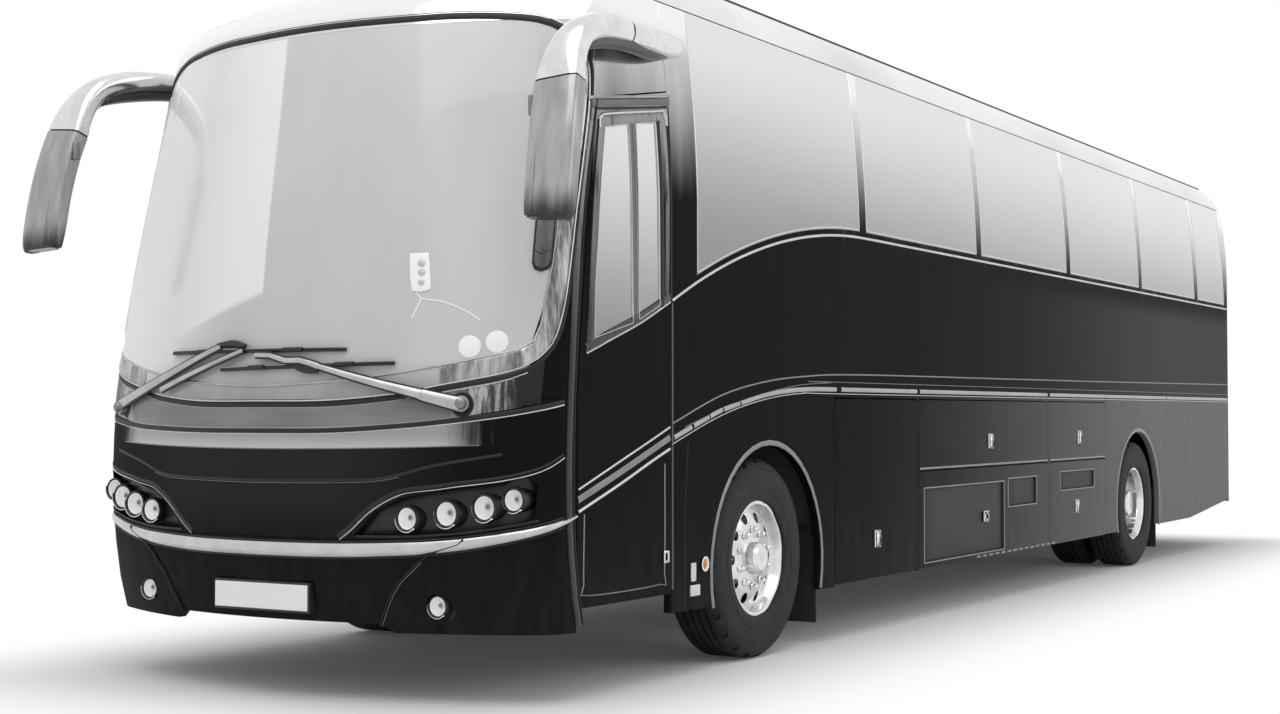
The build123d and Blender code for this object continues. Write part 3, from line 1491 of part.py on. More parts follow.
with BuildPart() as steering_wheel:
    ring_plane = Plane(wheel_centre, x_dir=(1, 0, 0), z_dir=column_dir)
    with BuildSketch(ring_plane):
        Circle(55)
        Rectangle(2 * steering_radius, 34)
    extrude(amount=-steering_hub_depth)
    with BuildSketch(Plane(wheel_centre, x_dir=(1, 0, 0), z_dir=ring_plane.y_dir)):
        with Locations((steering_radius, 0)):
            Circle(17)
    revolve(axis=Axis(wheel_centre, column_dir))
steering_wheel.part.label = "steering_wheel"
export_step(steering_wheel.part, "parts/steering_wheel.step")


# ---------------------------------------------------------------- seats
def seat_profile(back_y, floor_z):
    """Side view of a high-backed seat on its plinth, facing forwards."""
    return [
        (back_y - 430, floor_z),
        (back_y - 60, floor_z),
        (back_y - 60, floor_z + 300),
        (back_y + 10, floor_z + 420),
        (back_y + 130, floor_z + 1130),
        (back_y + 60, floor_z + 1160),
        (back_y - 80, floor_z + 480),
        (back_y - 500, floor_z + 480),
        (back_y - 520, floor_z + 360),
        (back_y - 430, floor_z + 340),
    ]


def seat_bank(side):
    """All passenger seats on one side of the gangway."""
    with BuildPart() as bank:
        for row in range(seat_rows):
            back_y = first_seat_y + row * seat_pitch
            with BuildSketch(Plane.YZ.offset(side * seat_inner_x)):
                with BuildLine():
                    Polyline(*seat_profile(back_y, cabin_floor_top_z), close=True)
                make_face()
            extrude(amount=side * seat_pair_width)
    return bank.part


with BuildPart() as passenger_seats:
    add(seat_bank(1))
    add(seat_bank(-1))
passenger_seats.part.label = "passenger_seats"
export_step(passenger_seats.part, "parts/passenger_seats.step")

with BuildPart() as driver_seat:
    with BuildSketch(Plane.YZ.offset(wheel_x - 240)):
        with BuildLine():
            Polyline(*seat_profile(riser_y - 190, driver_floor_top_z), close=True)
        make_face()
    extrude(amount=480)
driver_seat.part.label = "driver_seat"
export_step(driver_seat.part, "parts/driver_seat.step")

# ---------------------------------------------------------------- overhead racks
with BuildPart() as parcel_racks:
    for side in (1, -1):
        with BuildSketch(Plane.XZ.offset(-ya(-300))):
            with BuildLine():
                Polyline(
                    (side * (inner_half + 20), 3170),
                    (side * 800, 3130),
                    (side * 760, 3180),
                    (side * 800, 3270),
                    (side * (inner_half - 100), 3330),
                    (side * (inner_half + 20), 3330),
                    close=True,
                )
            make_face()
        extrude(amount=-9700)
    add(inner_form, mode=Mode.INTERSECT)
parcel_racks.part.label = "parcel_racks"
export_step(parcel_racks.part, "parts/parcel_racks.step")

# ---------------------------------------------------------------- mud flaps
with BuildPart() as mudflaps:
    for flap_y in (ya(690), rear_arch_y + rear_arch_radius + 40):
        for side in (1, -1):
            with BuildSketch(Plane.XZ.offset(-flap_y)):
                with Locations((side * (inner_half - 170), 360)):
                    Rectangle(340, 500)
            extrude(amount=-12)
mudflaps.part.label = "mudflaps"
export_step(mudflaps.part, "parts/mudflaps.step")
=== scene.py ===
"""A two-axle touring coach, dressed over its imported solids, with its studio."""
import json
from math import asin, atan2, cos, pi, radians, sin, sqrt

import bmesh
import bpy
from mathutils import Matrix, Vector

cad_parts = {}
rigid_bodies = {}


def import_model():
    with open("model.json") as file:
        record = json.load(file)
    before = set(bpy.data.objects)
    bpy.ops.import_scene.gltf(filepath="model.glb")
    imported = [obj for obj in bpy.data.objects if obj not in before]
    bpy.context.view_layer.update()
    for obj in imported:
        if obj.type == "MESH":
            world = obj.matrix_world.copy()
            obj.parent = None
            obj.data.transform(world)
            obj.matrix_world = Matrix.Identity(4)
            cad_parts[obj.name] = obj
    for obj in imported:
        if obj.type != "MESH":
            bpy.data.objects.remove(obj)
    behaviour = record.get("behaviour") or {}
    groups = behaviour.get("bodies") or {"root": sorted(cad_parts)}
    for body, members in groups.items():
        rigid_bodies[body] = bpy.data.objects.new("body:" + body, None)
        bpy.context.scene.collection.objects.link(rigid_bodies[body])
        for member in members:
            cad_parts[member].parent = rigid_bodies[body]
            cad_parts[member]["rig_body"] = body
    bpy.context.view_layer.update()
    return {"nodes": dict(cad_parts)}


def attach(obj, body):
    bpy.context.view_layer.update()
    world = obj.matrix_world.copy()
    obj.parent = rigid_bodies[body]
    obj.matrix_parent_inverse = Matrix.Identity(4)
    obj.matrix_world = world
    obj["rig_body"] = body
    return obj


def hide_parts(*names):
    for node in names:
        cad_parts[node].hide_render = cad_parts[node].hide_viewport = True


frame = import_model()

bl_info = {
    "name": "Touring Coach",
    "version": (1, 0, 0),
    "blender": (4, 5, 0),
    "location": "3D View > Sidebar > Coach",
    "description": "Builds the paint, glass, trim, lamps, wheels and cabin of a touring coach",
    "category": "Object",
}

# ---------------------------------------------------------------- form of the coach, in metres
FRONT, REAR, HALF = -6.14, 6.14, 1.275
AXLE = -3.8
REAR_AXLE = 2.9
NOSE_R, CORNER_R = 2.4, 0.23
TAIL_R, TAIL_CORNER_R = 8.0, 0.16
ARCH_FOOT = 0.30
BELT = 2.245
# level, set-back of the nose, set-back of the tail
STATIONS = [
    (0.25, 0.115, 0), (0.45, 0.055, 0), (0.625, 0.024, 0), (0.79, 0.006, 0), (0.95, 0, 0),
    (1.12, 0.006, 0), (1.29, 0.018, 0), (1.48, 0.048, 0), (1.68, 0.09, 0), (1.9, 0.138, 0),
    (2.12, 0.192, 0), (2.34, 0.25, 0), (2.56, 0.31, 0), (2.76, 0.358, 0.004), (2.94, 0.402, 0.014),
    (3.02, 0.434, 0.03), (3.09, 0.49, 0.064), (3.15, 0.575, 0.12), (3.205, 0.7, 0.205),
    (3.255, 0.865, 0.32), (3.3, 1.075, 0.47), (3.34, 1.34, 0.66), (3.375, 1.68, 0.9),
    (3.4, 2.08, 1.18), (3.43, 2.9, 1.75),
]
# three points of each arc of the body's cross section, as (half width, level)
SECTION = [
    [(1.275, 2.245), (1.25, 2.715), (1.2, 3.15)],
    [(1.2, 3.15), (1.15, 3.28), (1.05, 3.36)],
    [(1.05, 3.36), (0.0, 3.41), (-1.05, 3.36)],
]
# start and end of each side pane, measured back from the front axle
PANES = [(-0.7, 1.187), (1.277, 3.03), (3.12, 4.875), (4.965, 6.745), (6.835, 8.515), (8.625, 9.6)]
# fore and aft ends of the bars in the waist strip
STRIP_BARS = [
    (-4.725, -4.557), (-4.538, -4.387), (-4.377, -4.251), (-4.237, -4.071), (-4.057, -2.936), (-2.873, -1.79),
    (-1.745, 0.615), (0.665, 1.99), (2.0, 3.72), (3.74, 5.88),
]
# lines round the door side half of the windscreen, as (way round the nose, level)
SCREEN_EDGE = [
    (0.0, 1.284), (0.38, 1.287), (0.7, 1.316), (0.868, 1.348), (1.114, 1.393), (1.233, 1.433), (1.303, 1.491),
    (1.341, 1.56), (1.364, 1.698), (1.368, 1.887), (1.362, 2.1), (1.356, 2.35), (1.345, 2.58), (1.325, 2.72),
    (1.290, 2.82),
]
FRIT_EDGE = [
    (0.0, 1.350), (0.45, 1.372), (0.86, 1.430), (1.045, 1.467), (1.184, 1.497), (1.247, 1.534), (1.268, 1.602),
    (1.273, 1.7), (1.284, 1.85), (1.286, 2.05), (1.282, 2.3), (1.268, 2.55), (1.248, 2.70), (1.215, 2.80),
]
WRAP_INNER = [(1.10, 1.42), (1.13, 1.7), (1.13, 2.1), (1.12, 2.5), (1.08, 2.90)]
WRAP_OUTER = [(1.24, 1.53), (1.278, 1.75), (1.288, 2.1), (1.272, 2.52), (1.19, 2.86)]
SCREEN_TOP = [
    (0.0, 2.981), (0.45, 2.979), (0.66, 2.980), (0.89, 2.970), (1.07, 2.950), (1.18, 2.908), (1.237, 2.853),
    (1.275, 2.790), (1.300, 2.70),
]
# front edge of the doorway, as (way round the nose, level)
DOOR_POST = [
    (1.362, 2.60), (1.370, 2.44), (1.375, 2.30), (1.383, 2.14), (1.397, 1.98), (1.416, 1.81), (1.436, 1.64),
    (1.455, 1.49), (1.470, 1.315), (1.474, 1.1), (1.474, 0.80), (1.468, 0.45), (1.462, 0.33),
]


def read(table, z, column=1):
    """Value of a table at a level, run straight between its rows."""
    for low, high in zip(table, table[1:]):
        if z <= high[0]:
            share = max(0.0, (z - low[0]) / (high[0] - low[0]))
            return low[column] + share * (high[column] - low[column])
    return table[-1][column]


def lean(z, column=1):
    """Set-back gained per metre of height, eased between the stations."""
    pairs = zip(STATIONS, STATIONS[1:])
    mids = [((a[0] + b[0]) / 2, (b[column] - a[column]) / (b[0] - a[0])) for a, b in pairs]
    return read(mids, z)


def arc_centre(a, b, c):
    """Centre and radius of the circle through three points of the section."""
    d = 2 * (a[0] * (b[1] - c[1]) + b[0] * (c[1] - a[1]) + c[0] * (a[1] - b[1]))
    sa, sb, sc = (p[0] ** 2 + p[1] ** 2 for p in (a, b, c))
    x = (sa * (b[1] - c[1]) + sb * (c[1] - a[1]) + sc * (a[1] - b[1])) / d
    y = (sa * (c[0] - b[0]) + sb * (a[0] - c[0]) + sc * (b[0] - a[0])) / d
    return x, y, sqrt((a[0] - x) ** 2 + (a[1] - y) ** 2)


ARCS = [(arc[0][1], arc[-1][1]) + arc_centre(*arc) for arc in SECTION[:2]]
CROWN = arc_centre(*SECTION[2])


def side_x(z):
    """Half width of the body section at a level, up to the edge of the roof."""
    if z <= BELT:
        return HALF
    for _, high, cx, cz, r in ARCS:
        if z <= high:
            return cx + sqrt(max(0.0, r * r - (z - cz) ** 2))
    return 1.05


def plan(nose):
    """Corner centre, tangent place and arc lengths of the nose or the tail in plan."""
    big, small = (NOSE_R, CORNER_R) if nose else (TAIL_R, TAIL_CORNER_R)
    cx = HALF - small
    reach = sqrt((big - small) ** 2 - cx ** 2)
    turn = asin(cx / (big - small))
    return big, small, cx, big - reach, turn, big * turn, big * turn + small * (pi / 2 - turn)


PLAN_FRONT, PLAN_REAR = plan(True), plan(False)


def along(x):
    """Distance round the nose's plan outline from the middle to a place across."""
    big, small, cx, _, turn, to_corner, _ = PLAN_FRONT
    side = 1 if x >= 0 else -1
    x = abs(x)
    if x <= big * sin(turn):
        return side * big * asin(x / big)
    return side * (to_corner + small * (asin(min(1.0, (x - cx) / small)) - turn))


def round_end(s, z, out, nose):
    """Point on the nose or the tail, s round from the middle, at a level, stood off outwards."""
    big, small, cx, cy, turn, to_corner, to_side = PLAN_FRONT if nose else PLAN_REAR
    side = 1 if s >= 0 else -1
    s = abs(s)
    if s <= to_corner:
        a = s / big
        x, y, px, py = big * sin(a), big - big * cos(a), sin(a), cos(a)
    elif s <= to_side:
        a = turn + (s - to_corner) / small
        x, y, px, py = cx + small * sin(a), cy - small * cos(a), sin(a), cos(a)
    else:
        x, y, px, py = HALF, cy + s - to_side, 1.0, 0.0
    column, sign, end = (1, 1, FRONT) if nose else (2, -1, REAR)
    n = Vector((side * px, -sign * py, lean(z, column) * py)).normalized()
    return Vector((side * x, end + sign * (y + read(STATIONS, z, column)), z)) + n * out


def on_front(s, z, out=0.0):
    return round_end(s, z, out, True)


def on_left(y, z, out=0.0):
    return Vector((side_x(z) + out, y, z))


def on_right(y, z, out=0.0):
    return Vector((-side_x(z) - out, y, z))


SIDES = (("left", on_left), ("right", on_right))


def belt(y):
    """Level of the lower edge of the side glass at a row position."""
    run = 1.25 - (y - AXLE)
    return BELT if run <= 0 else BELT - 5.4 + sqrt(5.4 ** 2 - run ** 2)


def skin_normal(p, face):
    """Exact normal of the body at a point, or nothing where the point is off the skin."""
    best, found = 0.8, None
    x, y, z = p
    for nose in (True, False):
        big, small, cx, cy, turn, _, _ = PLAN_FRONT if nose else PLAN_REAR
        column, sign, end = (1, 1, FRONT) if nose else (2, -1, REAR)
        v = sign * (y - end) - read(STATIONS, z, column)
        if v > cy or v < -0.02:
            continue
        if abs(x) <= big * sin(turn):
            ox, oy, r = 0.0, big, big
        else:
            ox, oy, r = cx, cy, small
        dx, dy = abs(x) - ox, v - oy
        if abs(sqrt(dx * dx + dy * dy) - r) < 0.002:
            d = sqrt(dx * dx + dy * dy)
            px, py = dx / d * (1 if x >= 0 else -1), dy / d
            n = Vector((px, sign * py, lean(z, column) * abs(py))).normalized()
            if n.dot(face) > best:
                best, found = n.dot(face), n
    if abs(abs(x) - HALF) < 0.001 and z <= BELT + 0.001 and abs(face.x) > best:
        n = Vector((1 if x > 0 else -1, 0, 0))
        if n.dot(face) > best:
            best, found = n.dot(face), n
    if z > BELT:
        rows = [(cx, cz, r) for low, high, cx, cz, r in ARCS if low - 0.001 <= z <= high + 0.001]
        if z > 3.355:
            rows.append(CROWN)
        for cx, cz, r in rows:
            dx, dz = abs(x) - cx, z - cz
            if abs(sqrt(dx * dx + dz * dz) - r) < 0.002:
                n = Vector((dx * (1 if x >= 0 else -1), 0, dz)).normalized()
                if n.dot(face) > best:
                    best, found = n.dot(face), n
    return found


# ---------------------------------------------------------------- finishes
class Value:
    """One shader value, written into sums as a number is."""

    def __init__(self, tree, socket):
        self.tree, self.socket = tree, socket

    def maths(self, operation, *values, clamp=False):
        made = self.tree.nodes.new("ShaderNodeMath")
        made.operation, made.use_clamp = operation, clamp
        for place, value in zip(made.inputs, values):
            join_up(self.tree, place, value)
        return Value(self.tree, made.outputs[0])

    def __add__(self, other):
        return self.maths("ADD", self, other)

    def __radd__(self, other):
        return self.maths("ADD", other, self)

    def __sub__(self, other):
        return self.maths("SUBTRACT", self, other)

    def __rsub__(self, other):
        return self.maths("SUBTRACT", other, self)

    def __mul__(self, other):
        return self.maths("MULTIPLY", self, other)

    def __rmul__(self, other):
        return self.maths("MULTIPLY", other, self)

    def __truediv__(self, other):
        return self.maths("DIVIDE", self, other)

    def __pow__(self, other):
        return self.maths("POWER", self, other)

    def size(self):
        return self.maths("ABSOLUTE", self)

    def over(self, low, high):
        """0 below low, 1 above high, eased between."""
        made = self.tree.nodes.new("ShaderNodeMapRange")
        made.interpolation_type = "SMOOTHSTEP"
        for name, value in (("Value", self), ("From Min", low), ("From Max", high)):
            join_up(self.tree, made.inputs[name], value)
        return Value(self.tree, made.outputs["Result"])


def join_up(tree, place, value):
    if isinstance(value, Value):
        tree.links.new(value.socket, place)
    elif hasattr(value, "__len__") and len(value) == 3 and len(place.default_value) == 4:
        place.default_value = (*value, 1.0)
    else:
        place.default_value = value


class Finish:
    """A material made of nodes round one Principled shader."""

    def __init__(self, name):
        self.material = bpy.data.materials.new(name)
        self.material.use_nodes = True
        self.tree = self.material.node_tree
        self.shader = self.tree.nodes["Principled BSDF"]
        place = self.node("ShaderNodeTexCoord", out="Object")
        self.place = place
        split = self.tree.nodes.new("ShaderNodeSeparateXYZ")
        self.tree.links.new(place.socket, split.inputs[0])
        self.x, self.y, self.z = (Value(self.tree, split.outputs[i]) for i in range(3))

    def node(self, kind, settings=None, sockets=None, out=0):
        made = self.tree.nodes.new(kind)
        for name, value in (settings or {}).items():
            if name == "stops":
                ramp = made.color_ramp
                while len(ramp.elements) > 1:
                    ramp.elements.remove(ramp.elements[-1])
                for i, (at, colour) in enumerate(value):
                    stop = ramp.elements[0] if i == 0 else ramp.elements.new(at)
                    stop.position, stop.color = at, (*colour, 1.0)
            else:
                setattr(made, name, value)
        for name, value in (sockets or {}).items():
            join_up(self.tree, made.inputs[name], value)
        return Value(self.tree, made.outputs[out])

    def noise(self, scale, detail=2.0, rough=0.5, place=None):
        return self.node(
            "ShaderNodeTexNoise", {},
            {"Vector": place or self.place, "Scale": scale, "Detail": detail, "Roughness": rough}, "Fac",
        )

    def stretch(self, x, y, z):
        return self.node("ShaderNodeMapping", {}, {"Vector": self.place, "Scale": (x, y, z)})

    def mix(self, share, a, b):
        made = self.tree.nodes.new("ShaderNodeMix")
        made.data_type = "RGBA"
        join_up(self.tree, made.inputs[0], share)
        join_up(self.tree, made.inputs[6], a)
        join_up(self.tree, made.inputs[7], b)
        return Value(self.tree, made.outputs[2])

    def bump(self, height, distance, strength=1.0):
        return self.node("ShaderNodeBump", {}, {"Height": height, "Distance": distance, "Strength": strength}, "Normal")

    def set(self, **sockets):
        for name, value in sockets.items():
            join_up(self.tree, self.shader.inputs[name.replace("_", " ")], value)
        return self


FINISHES = {}


def finish(name):
    """The material of that name, made the first time it is asked for."""
    if name not in FINISHES:
        for maker, rows in ((metal, METALS), (plastic, PLASTICS), (lens, LENSES)):
            if name in rows:
                FINISHES[name] = maker(*rows[name]).material
        if name in MAKERS:
            FINISHES[name] = MAKERS[name]().material
    return FINISHES[name]


def lacquer(name, sky=True, nose=False):
    """Black lacquer: near black at the waist and dusty at the sill, with painted reflections that make it pale high up
    under the open sky, lighter towards the rear, and grey in a stripe across the nose.
    """
    f = Finish(name)
    c = settings().paint
    low = 1.0 - f.z.over(0.25, 1.0)
    streak = f.noise(3.0, 4.0, 0.6, f.stretch(6.0, 6.0, 0.7))
    dust = low * (0.35 + 0.65 * streak.over(0.3, 0.8))
    black = f.mix(dust, c, tuple(v + 0.012 for v in c))
    run = f.noise(1.4, 3.0, 0.5, f.stretch(5.0, 5.0, 0.5))
    # painted reflection of the sky: high up the lacquer turns pale and metallic
    pale = (f.z + (run - 0.5) * 0.35).over(2.2, 2.98) if sky else 0.0
    tone = f.mix(
        f.z.over(2.9, 3.06), f.mix(f.noise(0.9, 3.0).over(0.3, 0.7), (0.50, 0.503, 0.506), (0.74, 0.743, 0.746)),
        (0.88, 0.883, 0.886),
    )
    metal_share = pale
    base = f.mix(pale, black, tone) if sky else black
    # painted reflection: below the glass the lacquer grows lighter towards the rear, and film is the share of it
    rear_sheen = f.y.over(-2.9, 4.2) * (1.0 - f.y.over(5.96, 6.08))
    if not sky and not nose:
        film = rear_sheen * (0.62 + 0.25 * streak)
        base = f.mix(film, black, (0.26, 0.261, 0.263))
    elif sky:
        film = rear_sheen ** 2.0 * 0.22 * (1.0 - f.z.over(2.0, 2.2))
        base = f.mix(film, base, (0.26, 0.261, 0.263))
    # painted reflection of the horizon on the nose: a grey metallic stripe under the cowl groove that fades out towards
    # both corners. The black is a little lighter in the middle.
    if nose:
        bow = f.z - f.x * f.x * 0.018
        run = f.noise(14.0, 4.0, 0.6, f.stretch(2.5, 2.5, 0.25))
        ends = f.x.size().over(0.84, 1.10)
        horizon_reflection = bow.over(1.074, 1.081) * (1.0 - ends * (0.35 + 0.9 * run).over(0.3, 0.8)) * (
            1.0 - (f.x.size() + (run - 0.5) * 0.25).over(0.90, 1.08)
        )
        grey = f.mix(f.z.over(1.07, 1.15), (0.46, 0.462, 0.465), (0.30, 0.301, 0.303))
        middle = (1.0 - f.x.size().over(0.35, 1.05)) * f.z.over(0.62, 0.9)
        base = f.mix(horizon_reflection, f.mix(middle, black, (0.021, 0.021, 0.0213)), grey)
        metal_share = horizon_reflection * 0.9
    f.set(
        Base_Color=base,
        Metallic=metal_share,
        Roughness=0.09 + 0.2 * dust + 0.04 * f.noise(1.7, 3.0),
        Normal=f.bump(f.noise(55.0, 1.0), 0.0003, 0.2),
        Specular_IOR_Level=0.0,
        Coat_Weight=settings().paint_shine * (0.8 + 0.5 * streak),
        Coat_Roughness=0.03,
    )
    return f


def roof_paint():
    """Lacquer of the roof: pale cant rails over the side glass, a painted reflection of the sky, and a grey crown."""
    f = Finish("roof_lacquer")
    cloud = f.noise(0.7, 3.0)
    crown = f.z.over(3.345, 3.36)
    pale = f.mix(cloud.over(0.3, 0.7), (0.70, 0.703, 0.706), (0.86, 0.863, 0.866))
    f.set(
        Base_Color=f.mix(
            crown, pale, f.mix(f.noise(6.0, 4.0).over(0.35, 0.8), (0.16, 0.162, 0.165), (0.24, 0.242, 0.245)),
        ),
        Metallic=0.9 - 0.75 * crown,
        Roughness=0.12 + 0.05 * f.noise(2.0, 3.0) + 0.25 * crown,
        Normal=f.bump(f.noise(40.0, 1.0), 0.0003, 0.2),
        Specular_IOR_Level=0.35,
    )
    return f


def side_film_sky_sheen(name="mirror_film_glass", low=1.95):
    """Mirror film on the side glass with a painted reflection of the sky: mid grey low down and nearly white under the
    roof.
    """
    f = Finish(name)
    g = settings()
    rise = ((f.z - low) / 1.2).over(0.0, 1.0)
    cloud = f.noise(0.8, 4.0, 0.55, f.stretch(1.0, 0.35, 1.4))
    sky = f.node(
        "ShaderNodeValToRGB", {"stops": [(0.0, g.glass_low), (0.45, g.glass_mid), (1.0, g.glass_high)]},
        {"Fac": rise + (cloud - 0.5) * 0.22},
    )
    f.set(
        Base_Color=sky,
        Metallic=0.92,
        Roughness=0.1 + 0.12 * f.noise(1.1, 3.0),
        Normal=f.bump(f.noise(2.2, 2.0), 0.002, 0.2),
    )
    return f


def screen_glass():
    """Windscreen: glossy and a little see-through; a painted reflection makes it pale, brighter to the driver's side
    and in a slanted patch. Darker with streaks towards the foot.
    """
    f = Finish("windscreen_glass")
    cloud = f.noise(0.9, 4.0, 0.5, f.stretch(1.0, 1.0, 0.3))
    side = 1.0 - f.x.over(-1.15, -0.1)
    foot = 1.0 - f.z.over(1.29, 1.47)
    run = f.noise(5.0, 3.0, 0.5, f.stretch(1.6, 1.6, 0.2))
    tone = f.mix(cloud.over(0.3, 0.7), (0.56, 0.562, 0.565), (0.68, 0.682, 0.685))
    edge = (f.x + (f.z - 1.8) * 0.11).over(-0.072, -0.060)
    slant = (f.z - f.x * 0.35 + (cloud - 0.5) * 0.1).over(1.755, 1.80)
    slanted_reflection = (1.0 - edge) * slant * f.x.over(-1.3, -0.2) * 0.85
    pale = f.mix(side.maths("MAXIMUM", side, slanted_reflection), tone, (0.93, 0.93, 0.93))
    f.set(
        Base_Color=f.mix(foot * (0.62 + 0.5 * (run - 0.5)), pale, (0.24, 0.241, 0.243)),
        Alpha=0.88 + 0.06 * cloud,
        Roughness=0.05 + 0.06 * f.noise(3.0, 3.0),
        Normal=f.bump(f.noise(1.5, 2.0), 0.002, 0.15),
        Specular_IOR_Level=0.4,
    )
    return f


def corner_glass():
    """Screened edge of the windscreen: grey with pale upright runs of painted reflection, darker where it turns to the
    bottom.
    """
    f = Finish("screened_edge_glass")
    run = f.noise(9.0, 4.0, 0.6, f.stretch(2.2, 2.2, 0.25))
    fine = f.noise(30.0, 3.0, 0.6, f.stretch(3.0, 3.0, 0.2))
    tone = f.mix((run * 0.75 + fine * 0.25).over(0.36, 0.66), (0.10, 0.101, 0.102), (0.55, 0.552, 0.555))
    foot = 1.0 - f.z.over(1.33, 1.5)
    f.set(
        Base_Color=f.mix(foot * 0.45, tone, (0.20, 0.201, 0.202)),
        Metallic=0.75,
        Roughness=0.16 + 0.14 * run,
        Normal=f.bump(run, 0.0015, 0.2),
    )
    return f


def scuttle_grey():
    """Panel under the windscreen: mid grey, partly a painted reflection of the sky, with pale and dark runs of painted
    reflection towards both corners and black beyond.
    """
    f = Finish("scuttle_lacquer")
    cloud = f.noise(2.5, 3.0, 0.5, f.stretch(0.6, 1.0, 3.0))
    run = f.noise(16.0, 4.0, 0.6, f.stretch(2.5, 2.5, 0.25))
    edge = f.x.size().over(0.86, 1.0)
    end = f.x.size().over(1.08, 1.16)
    grey = f.mix(cloud.over(0.3, 0.7), (0.17, 0.171, 0.173), (0.25, 0.251, 0.253))
    streaked = f.mix(run.over(0.42, 0.6), (0.04, 0.04, 0.041), (0.42, 0.42, 0.424))
    f.set(
        Base_Color=f.mix(end, f.mix(edge, grey, streaked), (0.006, 0.006, 0.0062)),
        Roughness=0.25 + 0.1 * run,
        Normal=f.bump(run, 0.0006, 0.2),
        Specular_IOR_Level=0.3,
    )
    return f


def post_grey():
    """Door frame and posts: a painted reflection of the sky makes them mid grey under the roof, darker low down, with
    dark upright runs.
    """
    f = Finish("door_frame_lacquer")
    run = f.noise(11.0, 4.0, 0.6, f.stretch(3.0, 3.0, 0.3))
    rise = (f.z + (run - 0.5) * 0.5).over(1.5, 2.7)
    tone = f.mix(rise, (0.045, 0.045, 0.046), (0.30, 0.301, 0.303))
    f.set(
        Base_Color=f.mix((1.0 - run).over(0.52, 0.72), tone, (0.02, 0.02, 0.0205)),
        Metallic=0.3,
        Roughness=0.25 + 0.2 * run,
        Normal=f.bump(run, 0.0008, 0.2),
        Specular_IOR_Level=0.3,
    )
    return f


def mirror_lacquer():
    """Mirror shell: near black, with a painted reflection of the sky that makes it mid grey high up in soft upright
    runs; near black at the foot.
    """
    f = Finish("mirror_shell_lacquer")
    run = f.noise(6.0, 3.0, 0.5, f.stretch(3.0, 3.0, 0.4))
    rise = (f.z + (run - 0.5) * 0.12).over(2.02, 2.17)
    f.set(
        Base_Color=f.mix(
            rise, (0.03, 0.03, 0.031), f.mix(run.over(0.3, 0.7), (0.30, 0.301, 0.303), (0.40, 0.401, 0.403)),
        ),
        Metallic=0.6,
        Roughness=0.2 + 0.1 * run,
        Normal=f.bump(f.noise(160.0, 2.0), 0.0003, 0.3),
        Coat_Weight=0.15,
    )
    return f


def metal(name, colour, rough, grain=60.0, spread=0.12, depth=0.0003):
    """Bright metal with cloudy polish and fine grain."""
    f = Finish(name)
    cloud = f.noise(9.0, 4.0, 0.6)
    f.set(
        Base_Color=f.mix(cloud.over(0.3, 0.75), tuple(v * 0.82 for v in colour), colour),
        Metallic=1.0,
        Roughness=rough + spread * f.noise(grain, 3.0, 0.6),
        Normal=f.bump(f.noise(grain * 4, 2.0), depth, 0.3),
    )
    return f


def plastic(name, colour, rough, grain=220.0, depth=0.0006, fade=0.25, shine=0.4):
    """Moulded plastic with a fine grain, faded a little in patches."""
    f = Finish(name)
    patch = f.noise(3.5, 4.0, 0.6)
    f.set(
        Base_Color=f.mix(patch.over(0.3, 0.8), colour, tuple(v * (1 + fade) + 0.002 for v in colour)),
        Roughness=rough + 0.12 * (patch - 0.5),
        Normal=f.bump(f.noise(grain, 2.0), depth, 0.35),
        Specular_IOR_Level=shine,
    )
    return f


def tyre_rubber():
    """Matt rubber, browner and dustier where it scuffs."""
    f = Finish("tyre_rubber")
    grime = f.noise(14.0, 5.0, 0.65)
    f.set(
        Base_Color=f.mix(grime.over(0.35, 0.8), (0.009, 0.009, 0.0092), (0.03, 0.03, 0.0295)),
        Roughness=0.72 + 0.2 * (grime - 0.5),
        Normal=f.bump(f.noise(260.0, 3.0), 0.0008, 0.5),
        Specular_IOR_Level=0.35,
    )
    return f


def cloth():
    """Seat moquette: fine weave over a soft two-tone fleck."""
    f = Finish("seat_moquette")
    weave = f.node(
        "ShaderNodeTexWave", {"bands_direction": "DIAGONAL"}, {"Vector": f.place, "Scale": 160.0, "Distortion": 1.5},
        "Fac",
    )
    fleck = f.noise(70.0, 3.0)
    f.set(
        Base_Color=f.mix(fleck.over(0.45, 0.6), (0.05, 0.052, 0.06), (0.11, 0.112, 0.12)),
        Roughness=0.9 - 0.1 * weave,
        Normal=f.bump(weave, 0.0008, 0.5),
        Sheen_Weight=0.25,
    )
    return f


def lens(name, colour, rough=0.05, alpha=1.0):
    """Moulded lamp lens with fine prisms."""
    f = Finish(name)
    ribs = f.node(
        "ShaderNodeTexWave", {"bands_direction": "X"}, {"Vector": f.place, "Scale": 45.0, "Distortion": 0.0}, "Fac",
    )
    f.set(
        Base_Color=f.mix(ribs, colour, tuple(min(1.0, v * 1.25) for v in colour)),
        Roughness=rough + 0.04 * f.noise(30.0),
        Normal=f.bump(ribs, 0.0012, 0.25),
        Alpha=alpha,
        Coat_Weight=0.3,
    )
    return f


